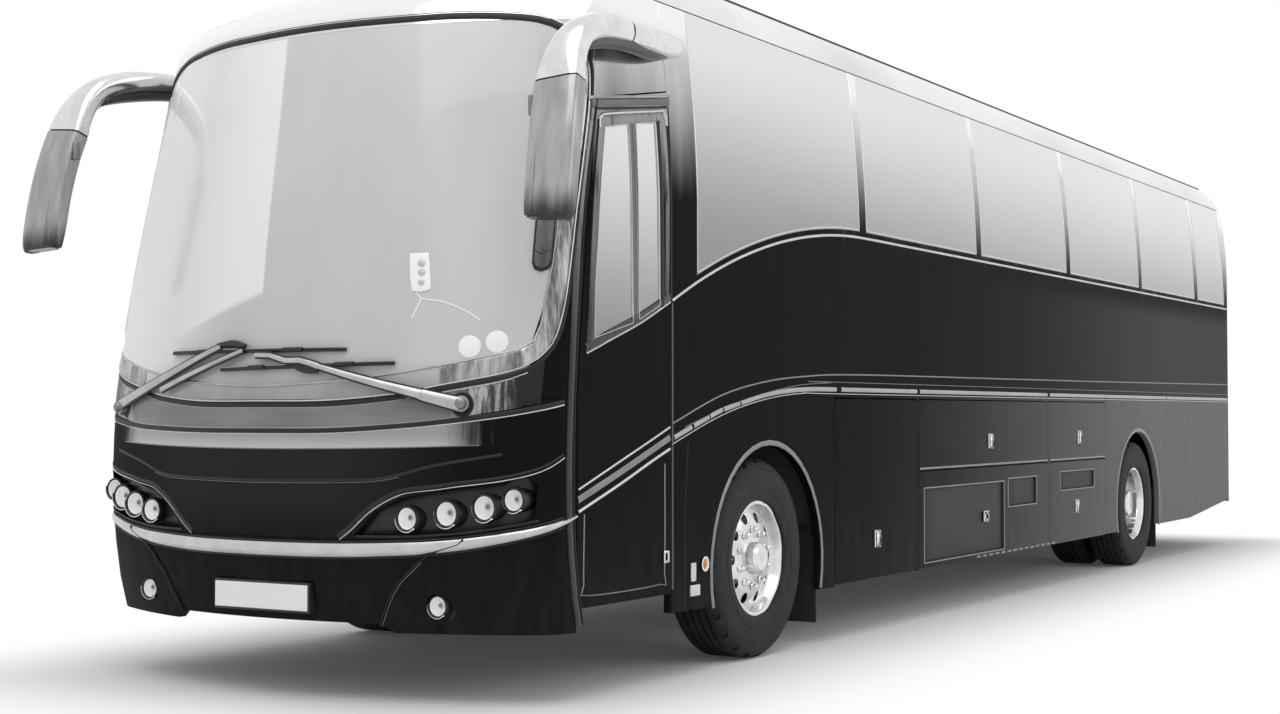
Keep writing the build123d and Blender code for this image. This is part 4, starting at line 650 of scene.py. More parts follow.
# name, colour and roughness, then grain, spread or fade and depth where they differ from the usual
METALS = {
    "chrome": ("polished_chrome", (0.83, 0.83, 0.84), 0.06, 30.0, 0.08, 0.0001),
    "alloy": ("polished_alloy", (0.80, 0.80, 0.81), 0.12, 40.0, 0.14, 0.0002),
    "bright_trim": ("bright_trim", (0.62, 0.62, 0.63), 0.22, 50.0, 0.12, 0.0002),
    "dull_trim": ("satin_trim", (0.26, 0.26, 0.265), 0.3, 60.0, 0.15, 0.0003),
    "steel": ("cast_steel", (0.30, 0.295, 0.29), 0.42, 90.0, 0.2, 0.0008),
    "mirror_arm": ("mirror_arm_lacquer", (0.78, 0.785, 0.79), 0.13, 20.0, 0.06, 0.0001),
    "wiper_arm": ("wiper_arm_lacquer", (0.50, 0.50, 0.505), 0.3, 60.0, 0.12, 0.0002),
    "strip": ("strip_alloy", (0.42, 0.42, 0.425), 0.22, 14.0, 0.16, 0.0004),
    "blade": ("blade_lacquer", (0.60, 0.60, 0.605), 0.2, 25.0, 0.12, 0.0002),
    "dull_glass": ("dull_glass", (0.55, 0.55, 0.555), 0.3, 20.0, 0.05, 0.0),
    "mirror_glass": ("mirror_glass", (0.86, 0.87, 0.88), 0.02, 20.0, 0.02, 0.0),
    "engine": ("engine_castings", (0.16, 0.16, 0.165), 0.5, 40.0, 0.2, 0.0015),
}
PLASTICS = {
    "black_plastic": ("black_plastic", (0.010, 0.010, 0.0105), 0.38),
    "gasket": ("rubber_gasket", (0.006, 0.006, 0.006), 0.55, 300.0, 0.0004),
    "mirror_cover": ("mirror_arm_cover", (0.035, 0.036, 0.037), 0.32, 140.0, 0.0004),
    "seat_shell": ("seat_shell", (0.035, 0.035, 0.037), 0.45, 180.0, 0.0005),
    "rail_grey": ("rail_grey", (0.13, 0.13, 0.133), 0.3, 260.0, 0.0003, 0.3),
    "plate_frame": ("plate_frame", (0.02, 0.02, 0.0205), 0.35),
    "decal_white": ("white_disc", (0.90, 0.90, 0.89), 0.4, 200.0, 0.0001, 0.02),
    "chassis": ("chassis_black", (0.012, 0.012, 0.012), 0.6, 60.0, 0.0015, 0.6),
    "vinyl": ("floor_vinyl", (0.085, 0.085, 0.09), 0.5, 120.0, 0.0008, 0.4),
    "lining": ("bay_lining", (0.12, 0.12, 0.118), 0.7, 90.0, 0.001, 0.4),
    "cabin": ("cabin_plastic", (0.10, 0.10, 0.105), 0.5, 200.0, 0.0006),
    "rubber": ("flap_rubber", (0.012, 0.012, 0.012), 0.7, 60.0, 0.001),
    "plate": ("blank_plate", (0.84, 0.84, 0.835), 0.3, 300.0, 0.0002, 0.02),
    "reflector": ("lamp_reflector", (0.95, 0.95, 0.955), 0.12, 60.0, 0.0002, 0.02, 0.8),
}
LENSES = {
    "clear_lens": ("clear_lens", (0.80, 0.81, 0.82), 0.03, 0.10),
    "clear_marker": ("clear_marker", (0.62, 0.62, 0.62), 0.08),
    "red_lens": ("red_lens", (0.30, 0.006, 0.008), 0.06),
    "amber_lens": ("amber_lens", (0.62, 0.16, 0.01), 0.06),
}
MAKERS = {
    "paint": lambda: lacquer("coach_lacquer"),
    "paint_low": lambda: lacquer("sill_lacquer", sky=False),
    "paint_nose": lambda: lacquer("nose_lacquer", sky=False, nose=True),
    "paint_roof": roof_paint,
    "film": side_film_sky_sheen,
    "door_film": lambda: side_film_sky_sheen("door_film_glass", 1.42),
    "screen": screen_glass,
    "mirror_shell": mirror_lacquer,
    "corner_glass": corner_glass,
    "scuttle": scuttle_grey,
    "post": post_grey,
    "tyre": tyre_rubber,
    "cloth": cloth,
}


# ---------------------------------------------------------------- settings
def colour(name, description, default):
    return bpy.props.FloatVectorProperty(
        name=name, description=description, size=3, subtype="COLOR", default=default, min=0, max=1)


class CoachColours(bpy.types.PropertyGroup):
    """Colours and finishes of the coach."""

    paint: colour("Paint", "Colour of the body lacquer", (0.0045, 0.0045, 0.0048))
    paint_shine: bpy.props.FloatProperty(
        name="Paint shine", description="Strength of reflections in the lacquer", default=0.11, min=0, max=1,
        subtype="FACTOR",
    )
    # the three glass tones are a painted reflection of the sky on the mirror film, darker low and lighter high
    glass_low: colour("Glass, low", "Tone of the mirror film at the belt", (0.27, 0.272, 0.275))
    glass_mid: colour("Glass, middle", "Tone of the mirror film half way up", (0.50, 0.502, 0.505))
    glass_high: colour("Glass, high", "Tone of the mirror film under the roof", (0.76, 0.762, 0.765))


class CoachSizes(bpy.types.PropertyGroup):
    """Sizes of the added details."""

    panel_round: bpy.props.FloatProperty(
        name="Panel edge", description="Rounding of the body panel edges", default=0.003, min=0.0005, max=0.01,
        unit="LENGTH",
    )
    strip_rise: bpy.props.FloatProperty(
        name="Trim rise", description="How far the trim strips stand off the body", default=0.004, min=0.001, max=0.01,
        unit="LENGTH",
    )
    tyre_segments: bpy.props.IntProperty(
        name="Tyre steps", description="Steps round each tyre", default=96, min=48, max=160,
    )


class CoachStudio(bpy.types.PropertyGroup):
    """Light round the coach."""

    sky: bpy.props.FloatProperty(
        name="Sky", description="Strength of the soft light from all round", default=0.68, min=0, max=2,
    )
    key: bpy.props.FloatProperty(
        name="Key", description="Power of the large overhead light", default=330.0, min=0, max=20000, unit="POWER",
    )


def settings():
    return bpy.context.scene.coach_colours


def sizes():
    return bpy.context.scene.coach_sizes


# ---------------------------------------------------------------- modelling by hand
BODY = "coach_body"
DOUBLES = 1e-5  # vertices closer than this are one
FLAT = 0.3  # faces within this many degrees are one flat
PROBE = 0.05  # stand-off that tells outwards from inwards
STRIP_CELLS = 4  # cells across a strip
SHEET_SINK = 0.004  # depth to which a ruled sheet is let into the body


def clear():
    for o in bpy.context.view_layer.objects:
        o.select_set(False)


def only(obj):
    clear()
    obj.select_set(True)
    bpy.context.view_layer.objects.active = obj
    return obj


def made(name):
    """The object that an add operator has just made, named and alone selected."""
    obj = bpy.context.view_layer.objects.active
    obj.name = obj.data.name = name
    return only(obj)


class Edit:
    """Edit mode on one object, with its mesh to select in."""

    def __init__(self, obj):
        self.obj = only(obj)

    def __enter__(self):
        bpy.ops.object.mode_set(mode="EDIT")
        bpy.ops.mesh.select_mode(type="FACE")
        bpy.ops.mesh.select_all(action="SELECT")
        return self

    def faces(self, rule):
        """Selects the faces that a rule on centre and normal picks."""
        bpy.ops.mesh.select_mode(type="FACE")
        bpy.ops.mesh.select_all(action="DESELECT")
        mesh = bmesh.from_edit_mesh(self.obj.data)
        count = 0
        for face in mesh.faces:
            if rule(face.calc_center_median(), face.normal):
                face.select_set(True)
                count += 1
        mesh.select_flush(True)
        bmesh.update_edit_mesh(self.obj.data)
        return count

    def all(self):
        bpy.ops.mesh.select_all(action="SELECT")

    def __exit__(self, *_):
        bpy.ops.object.mode_set(mode="OBJECT")


def settle(obj):
    """Puts the object's place into its mesh."""
    only(obj)
    bpy.ops.object.transform_apply(location=True, rotation=True, scale=True)
    return obj


def modify(obj, kind, **values):
    only(obj)
    modifier = obj.modifiers.new(kind.title(), kind)
    for name, value in values.items():
        setattr(modifier, name, value)
    bpy.ops.object.modifier_apply(modifier=modifier.name)
    return obj


def rounded(obj, width, segments=2, angle=35.0, clamp=True):
    return modify(
        obj, "BEVEL", width=width, segments=segments, limit_method="ANGLE", angle_limit=radians(angle),
        use_clamp_overlap=clamp,
    )


def smooth(obj, angle=35.0):
    only(obj)
    bpy.ops.object.shade_smooth_by_angle(angle=radians(angle))
    return obj


def tidy_shell(obj):
    """Merges doubles and turns the faces outwards."""
    with Edit(obj):
        bpy.ops.mesh.remove_doubles(threshold=DOUBLES)
        bpy.ops.mesh.normals_make_consistent(inside=False)
    return obj


def joined(name, objs):
    objs = [o for o in objs if o]
    clear()
    for o in objs:
        o.select_set(True)
    bpy.context.view_layer.objects.active = objs[0]
    if len(objs) > 1:
        bpy.ops.object.join()
    return made(name)


def sunk(obj, *steps):
    """Insets the face of a piece that looks out from the door side, by steps of (thickness, depth)."""
    with Edit(obj) as edit:
        edit.faces(lambda c, n: n.x > 0.9)
        for thickness, depth in steps:
            bpy.ops.mesh.inset(thickness=thickness, depth=depth)
    return obj


def discard(*objs):
    """Removes the first ones, once their copies stand."""
    for obj in objs:
        bpy.data.objects.remove(obj)


def laid(name, pieces, material, slot, body=BODY, *nodes):
    """Joins pieces under one name, gives them their finish and puts them on a body."""
    return riding(coated(joined(name, pieces), material), body, slot, *nodes)


def laid_parts(name, pieces, slot, body=BODY):
    """Joins pieces that each bring their own finish."""
    return riding(joined(name, [coated(part, material) for part, material in pieces]), body, slot)


def copied(obj, name, matrix):
    """A copy with its own mesh, put in place."""
    only(obj)
    bpy.ops.object.duplicate(linked=False)
    twin = made(name)
    twin.data.transform(matrix)
    if matrix.determinant() < 0:
        with Edit(twin):
            bpy.ops.mesh.flip_normals()
    return twin


def coated(obj, *names):
    obj.data.materials.clear()
    for name in names:
        obj.data.materials.append(finish(name))
    return obj


def riding(obj, body, slot, *nodes):
    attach(obj, body)
    if nodes:
        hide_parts(*nodes)
    return obj


def true_gloss(obj):
    """Gives the corners that lie on the body skin the skin's exact normals, for clean reflections."""
    mesh = obj.data
    normals = [(0.0, 0.0, 0.0)] * len(mesh.loops)
    cache = {}
    for face in mesh.polygons:
        for i in face.loop_indices:
            v = mesh.loops[i].vertex_index
            key = (v, face.normal.x > 0, face.normal.y > 0, face.normal.z > 0.7)
            if key not in cache:
                cache[key] = skin_normal(mesh.vertices[v].co, face.normal)
            if cache[key] is not None:
                normals[i] = tuple(cache[key])
    mesh.normals_split_custom_set(normals)
    return obj


def node_box(node):
    """Lowest and highest corner of a CAD part."""
    spots = [v.co for v in frame["nodes"][node].data.vertices]
    return (Vector([pick_one(p[k] for p in spots) for k in range(3)]) for pick_one in (min, max))


def dressed(node, name, material, slot, width=0.003, segments=2, angle=35.0, gloss=False, shape=None):
    """A CAD part's mesh, merged, its flats cleaned, its edges rounded and its finish laid on."""
    source = frame["nodes"][node]
    obj = bpy.data.objects.new(name, source.data.copy())
    bpy.context.scene.collection.objects.link(obj)
    obj.data.name = name
    with Edit(obj):
        bpy.ops.mesh.remove_doubles(threshold=DOUBLES)
        bpy.ops.mesh.dissolve_limited(angle_limit=radians(FLAT))
    if shape:
        shape(obj)
    if width:
        rounded(obj, width, segments, angle, False)
    smooth(obj, angle)
    if gloss:
        true_gloss(obj)
    coated(obj, material)
    return riding(obj, source["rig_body"], slot, node)


def eased(points, step, corners=False):
    """Points along a line through the given ones, closer together; eased unless corners are kept."""
    path = []
    pts = [Vector(p).to_3d() if len(p) == 2 else Vector(p) for p in points]
    for i, (a, b) in enumerate(zip(pts, pts[1:])):
        before = pts[i - 1] if i else a + (a - b)
        after = pts[i + 2] if i + 2 < len(pts) else b + (b - a)
        count = max(1, round((b - a).length / step))
        for k in range(count):
            t = k / count
            if corners:
                path.append(a.lerp(b, t))
            else:
                path.append(
                    0.5 * (
                        (2 * a) + (b - before) * t + (
                            2 * before - 5 * a + 4 * b - after
                        ) * t * t + (3 * a - before - 3 * b + after) * t ** 3
                    )
                )
    path.append(pts[-1])
    return path


def outward(obj, away):
    """Turns a sheet's faces the other way round where its first one faces into the body."""
    if obj.data.polygons[0].normal.dot(away) < 0:
        with Edit(obj):
            bpy.ops.mesh.flip_normals()
    return obj


def ribbon(points, width, rise, form, step=0.06, corners=False, sink=0.003, taper=None):
    """A crowned strip laid on the body along a line; its edges are let into the surface."""
    path = eased(points, step, corners)
    count = len(path) - 1
    bpy.ops.mesh.primitive_grid_add(x_subdivisions=count, y_subdivisions=STRIP_CELLS, size=1)
    obj = made("strip")
    for v in obj.data.vertices:
        i = min(count, max(0, round((v.co.x + 0.5) * count)))
        t = v.co.y * 2
        d = (path[min(count, i + 1)] - path[max(0, i - 1)]).normalized()
        w = width * (taper(i / count) if taper else 1.0)
        p = path[i] + Vector((-d.y, d.x, 0)) * t * w / 2
        v.co = form(p.x, p.y, rise * (1 - t ** 4))
    outward(obj, form(*path[0].xy, PROBE) - form(*path[0].xy, 0.0))
    modify(obj, "SOLIDIFY", thickness=sink + rise * 0.4, offset=-1.0)
    return smooth(obj, 50)


def strips(form, *rows):
    """A ribbon for each row of (points, width, rise, step)."""
    return [ribbon(points, width, rise, form, step) for points, width, rise, step in rows]


def patch(outline, out, thick, form, step=0.08, edge=0.001):
    """A flat outline cut into cells, wrapped on the body and given its thickness."""
    bpy.ops.mesh.primitive_circle_add(vertices=len(outline), fill_type="NGON")
    obj = made("patch")
    for v, p in zip(obj.data.vertices, outline):
        v.co = (p[0], p[1], 0)
    us, ws = [p[0] for p in outline], [p[1] for p in outline]
    with Edit(obj):
        for axis, low, high in ((0, min(us), max(us)), (1, min(ws), max(ws))):
            count = int((high - low) / step)
            for k in range(1, count + 1):
                at = low + (high - low) * k / (count + 1)
                bpy.ops.mesh.select_all(action="SELECT")
                bpy.ops.mesh.bisect(
                    plane_co=(at, 0, 0) if axis == 0 else (0, at, 0), plane_no=(1, 0, 0) if axis == 0 else (0, 1, 0),
                )
    for v in obj.data.vertices:
        v.co = form(v.co.x, v.co.y, out)
    outward(obj, form(us[0], ws[0], PROBE) - form(us[0], ws[0], 0.0))
    modify(obj, "SOLIDIFY", thickness=thick, offset=-1.0)
    if edge:
        rounded(obj, edge, 2, 50)
    return smooth(obj, 35)


def moved(row, du, dw):
    """A row of points shifted along both of its ways."""
    return [(u + du, w + dw) for u, w in row]


def turned_over(row, side):
    """A row of points on the door side, or turned about the middle."""
    return [(side * u, w) for u, w in row]


def both(row):
    """A row from the middle outwards, carried on from the other side."""
    return turned_over(row[:0:-1], -1) + row


def pick(path, share):
    """Point at a share of the way along a path of points."""
    at = share * (len(path) - 1)
    i = min(len(path) - 2, int(at))
    return path[i].lerp(path[i + 1], at - i)


def ruled(low, high, rise, form, cells=40, across=8):
    """A sheet laid on the body between two lines, crowned by rise at its middle and let in at its edges."""
    a, b = eased(low, 0.02), eased(high, 0.02)
    bpy.ops.mesh.primitive_grid_add(x_subdivisions=cells, y_subdivisions=across, size=1)
    obj = made("sheet")
    for v in obj.data.vertices:
        t, u = v.co.x + 0.5, v.co.y + 0.5
        q = pick(a, t).lerp(pick(b, t), u)
        v.co = form(q.x, q.y, rise * (1 - (2 * u - 1) ** 6))
    outward(obj, form(*a[0].xy, PROBE) - form(*a[0].xy, 0.0))
    modify(obj, "SOLIDIFY", thickness=SHEET_SINK, offset=-1.0)
    return smooth(obj, 50)


def block(low, high, width=0.004, segments=3):
    """A rounded block between two corners."""
    low, high = Vector(low), Vector(high)
    bpy.ops.mesh.primitive_cube_add(size=1, location=(low + high) / 2, scale=high - low)
    obj = settle(made("block"))
    if width:
        rounded(obj, width, segments, 40)
    return smooth(obj, 40)


def turned(profile, axis_point, axis, steps=48, name="turned"):
    """A closed ring or a capped shape spun from its half profile of (radius, along) points."""
    bpy.ops.mesh.primitive_circle_add(vertices=len(profile), fill_type="NOTHING")
    obj = made(name)
    for v, p in zip(obj.data.vertices, profile):
        v.co = (p[0], 0, p[1])
    with Edit(obj):
        bpy.ops.mesh.select_mode(type="EDGE")
        bpy.ops.mesh.select_all(action="SELECT")
        bpy.ops.mesh.spin(steps=steps, angle=2 * pi, center=(0, 0, 0), axis=(0, 0, 1))
        bpy.ops.mesh.select_all(action="SELECT")
        bpy.ops.mesh.remove_doubles(threshold=2e-5)
        bpy.ops.mesh.select_all(action="SELECT")
        bpy.ops.mesh.normals_make_consistent(inside=False)
    turn = Vector((0, 0, 1)).rotation_difference(Vector(axis).normalized()).to_matrix().to_4x4()
    obj.data.transform(Matrix.Translation(Vector(axis_point)) @ turn)
    return smooth(obj, 35)


def boss(profile, s, z, steps):
    """A turned piece that stands square on the nose."""
    foot = on_front(s, z, 0.0)
    return turned(profile, foot, on_front(s, z, 1.0) - foot, steps)


def tube(points, radius, name):
    """A smooth tube along a line of points, from a path curve given its bevel and made a mesh."""
    bpy.ops.curve.primitive_nurbs_path_add()
    curve = made(name)
    spline = curve.data.splines[0]
    spline.points.add(max(0, len(points) - len(spline.points)))
    while len(spline.points) > len(points):
        curve.data.splines.remove(spline)
        spline = curve.data.splines.new("NURBS")
        spline.points.add(len(points) - 1)
    for place, p in zip(spline.points, points):
        place.co = (*p, 1.0)
    spline.order_u = 3
    spline.use_endpoint_u = True
    spline.resolution_u = 6
    curve.data.bevel_depth = radius
    curve.data.bevel_resolution = 4
    curve.data.use_fill_caps = True
    only(curve)
    bpy.ops.object.convert(target="MESH")
    obj = made(name)
    tidy_shell(obj)
    return smooth(obj, 50)


def swept(stations, name, steps, ways):
    """A closed form eased through stations of (centre, half width, half depth, squareness)."""
    bpy.ops.mesh.primitive_cylinder_add(vertices=ways, radius=1, depth=1, end_fill_type="NGON")
    obj = made(name)
    with Edit(obj):
        for k in range(1, steps):
            bpy.ops.mesh.select_all(action="SELECT")
            bpy.ops.mesh.bisect(plane_co=(0, 0, k / steps - 0.5), plane_no=(0, 0, 1))
    count = len(stations) - 1

    def eased_at(rows, t):
        i = min(count - 1, int(t * count))
        u = t * count - i
        a, b = rows[i], rows[i + 1]
        before = rows[i - 1] if i else a
        after = rows[i + 2] if i + 2 <= count else b
        return 0.5 * (
            (2 * a) + (b - before) * u + (
                2 * before - 5 * a + 4 * b - after
            ) * u * u + (3 * a - before - 3 * b + after) * u ** 3
        )

    centres = [Vector(c) for c, *_ in stations]
    for v in obj.data.vertices:
        t = min(1.0, max(0.0, v.co.z + 0.5))
        centre = eased_at(centres, t)
        run = (eased_at(centres, min(1, t + 0.01)) - eased_at(centres, max(0, t - 0.01))).normalized()
        wide = (Vector((1, 0, 0)) - run * run.x).normalized()
        deep = run.cross(wide)
        w, d, n = (eased_at([row[k] for row in stations], t) for k in (1, 2, 3))
        turn = atan2(v.co.y, v.co.x)
        c, k = cos(turn), sin(turn)
        reach = (abs(c) ** n + abs(k) ** n) ** (-1 / n)
        v.co = centre + wide * (w * reach * c) + deep * (d * reach * k)
    tidy_shell(obj)
    return smooth(obj, 50)


# ---------------------------------------------------------------- body
BODY_PANELS = {
    "front_panel": "nose_panel", "front_bumper": "front_bumper_skin", "screen_frame": "screen_surround",
    "roof_front_cap": "roof_dome", "side_wall_left": "waist_left", "side_wall_right": "waist_right",
    "skirt_left": "skirt_door_side", "skirt_right": "skirt_driver_side", "cab_side_right": "cab_side",
    "rear_wall": "tail_panel", "rear_bumper": "rear_bumper_skin", "engine_lid": "engine_door",
    "passenger_door": "entry_door", "locker_a": "locker_door_a", "locker_b": "locker_door_b",
    "locker_c": "locker_door_c", "locker_d": "locker_door_d", "locker_e": "locker_door_e",
    "locker_r1": "locker_door_r1", "locker_r2": "locker_door_r2",
}


class COACH_OT_body(bpy.types.Operator):
    """Lays lacquer on the body panels and doors, with rounded edges"""

    bl_idname = "coach.body"
    bl_label = "Body panels"

    def execute(self, context):
        for node, name in BODY_PANELS.items():
            low = node.startswith(("skirt", "locker", "front_bumper", "rear_bumper", "engine"))
            coat = "paint_nose" if node == "front_panel" else "paint_low" if low else "paint"
            dressed(node, name, coat, "gloss_black", sizes().panel_round, gloss=True)
        dressed("roof_shell", "roof_skin", "paint_roof", "gloss_black", sizes().panel_round, gloss=True)
        return {"FINISHED"}


class COACH_OT_glass(bpy.types.Operator):
    """Mirror film on the side panes, the pale windscreen with its edges, discs, sensor cover and camera"""

    bl_idname = "coach.glass"
    bl_label = "Glass"

    def execute(self, context):
        dressed("windows", "side_panes", "film", "tinted_glass", 0.0015, gloss=True)
        dressed("door_glass", "door_panes", "door_film", "tinted_glass", 0.0015, gloss=True)
        dressed("windscreen", "windscreen_pane", "screen", "clear_glass", 0.0015, gloss=True)
        # bright lines along the lower and the upright edges of the panes, as painted highlights
        for side, form in SIDES:
            lines = []
            for start, end in PANES:
                y0, y1 = AXLE + start + 0.006, AXLE + end - 0.006
                ys = [y0 + (y1 - y0) * k / 9 for k in range(10)]
                lines.append(ribbon([(y, belt(y) + 0.014) for y in ys], 0.008, 0.0018, form, 0.12))
                for y in (y0, y1):
                    lines.append(ribbon([(y, belt(y) + 0.02), (y, 2.75), (y, 3.08)], 0.007, 0.0016, form, 0.12))
            laid("pane_lines_" + side, lines, "bright_trim", "tinted_glass")
        # screened edge, rubber and bright lines round the windscreen
        bands, wraps, lines = [], [], []
        for side in (1, -1):
            wraps.append(ruled(turned_over(WRAP_INNER, side), turned_over(WRAP_OUTER, side), 0.0025, on_front, 40, 10))
            bands.append(ruled(
                turned_over(FRIT_EDGE[2:], side), turned_over(SCREEN_EDGE[3:], side), 0.0045, on_front, 70, 8,
            ))
            lines.append(ribbon(
                turned_over(moved(SCREEN_EDGE[3:6], 0.001, -0.034), side), 0.004, 0.005, on_front, 0.05,
            ))
        foot = [(t * 1.005, z - 0.016) for t, z in SCREEN_EDGE[:7]]
        rubber = strips(
            on_front, (both(foot + moved(SCREEN_EDGE[7:], 0.016, 0.0)), 0.022, 0.004, 0.05),
            (both(SCREEN_TOP), 0.032, 0.007, 0.05),
        )
        lines += strips(
            on_front,
            (both(SCREEN_EDGE), 0.010, 0.008, 0.05),
            (both(FRIT_EDGE), 0.004, 0.0075, 0.05),
            (both(moved(SCREEN_TOP[:6], 0.0, 0.022)), 0.005, 0.003, 0.05),
        )
        laid("windscreen_rubber", rubber, "gasket", "gloss_black")
        laid("windscreen_corner_glass", wraps, "screen", "clear_glass")
        laid("windscreen_screened_edge", bands, "corner_glass", "clear_glass")
        laid("windscreen_bright_lines", lines, "bright_trim", "clear_glass")
        disc = [(0.0, 0.0034), (0.044, 0.0032), (0.048, 0.002), (0.048, 0.0), (0.0, 0.0)]
        discs = [boss(disc, t, z, 40) for t, z in ((0.98, 1.51), (1.093, 1.53))]
        laid("screen_discs", discs, "decal_white", "clear_glass")
        # rounded sensor cover on the door side of the screen
        sensor = [
            (1.195, 2.13), (1.19, 2.04), (1.2, 1.862), (1.212, 1.836), (1.243, 1.826), (1.272, 1.838), (1.284, 1.862),
            (1.276, 2.04), (1.272, 2.13),
        ]
        rim = patch(sensor, 0.012, 0.010, on_front, 0.05, 0.004)
        cover = patch(
            [(1.236 + (t - 1.236) * 0.80, 1.99 + (z - 1.99) * 0.92) for t, z in sensor], 0.0145, 0.006, on_front, 0.05,
            0.003,
        )
        fold = ribbon([(1.203, 1.918), (1.235, 1.900), (1.272, 1.922)], 0.007, 0.0155, on_front, 0.02)
        laid_parts("screen_sensor_cover", ((rim, "gasket"), (cover, "post"), (fold, "gasket")), "trim_plastic")
        # small camera housing seen through the screen, with its cable
        housing = patch(
            [
                (0.662, 1.912), (0.747, 1.914), (0.760, 1.86), (0.772, 1.80), (0.778, 1.755), (0.735, 1.744),
                (0.695, 1.748), (0.680, 1.80), (0.668, 1.86),
            ],
            0.004,
            0.003,
            on_front,
            0.03,
            0.001,
        )
        eyes = []
        for t, z, r in ((0.722, 1.868, 0.017), (0.728, 1.828, 0.017), (0.732, 1.786, 0.015)):
            eyes.append(boss([(0.0, 0.0065), (r * 0.6, 0.006), (r, 0.005), (r, 0.0035), (0.0, 0.0035)], t, z, 24))
        cord = ribbon(
            [(0.715, 1.742), (0.742, 1.716), (0.83, 1.703), (0.93, 1.668), (1.009, 1.622)], 0.006, 0.003, on_front,
            0.03,
        )
        stem = ribbon([(0.742, 1.716), (0.720, 1.66), (0.712, 1.634)], 0.007, 0.003, on_front, 0.03)
        eyes = joined("camera_eyes", eyes)
        parts = ((housing, "decal_white"), (eyes, "dull_glass"), (cord, "decal_white"), (stem, "decal_white"))
        laid_parts("screen_camera", parts, "clear_glass")
        return {"FINISHED"}


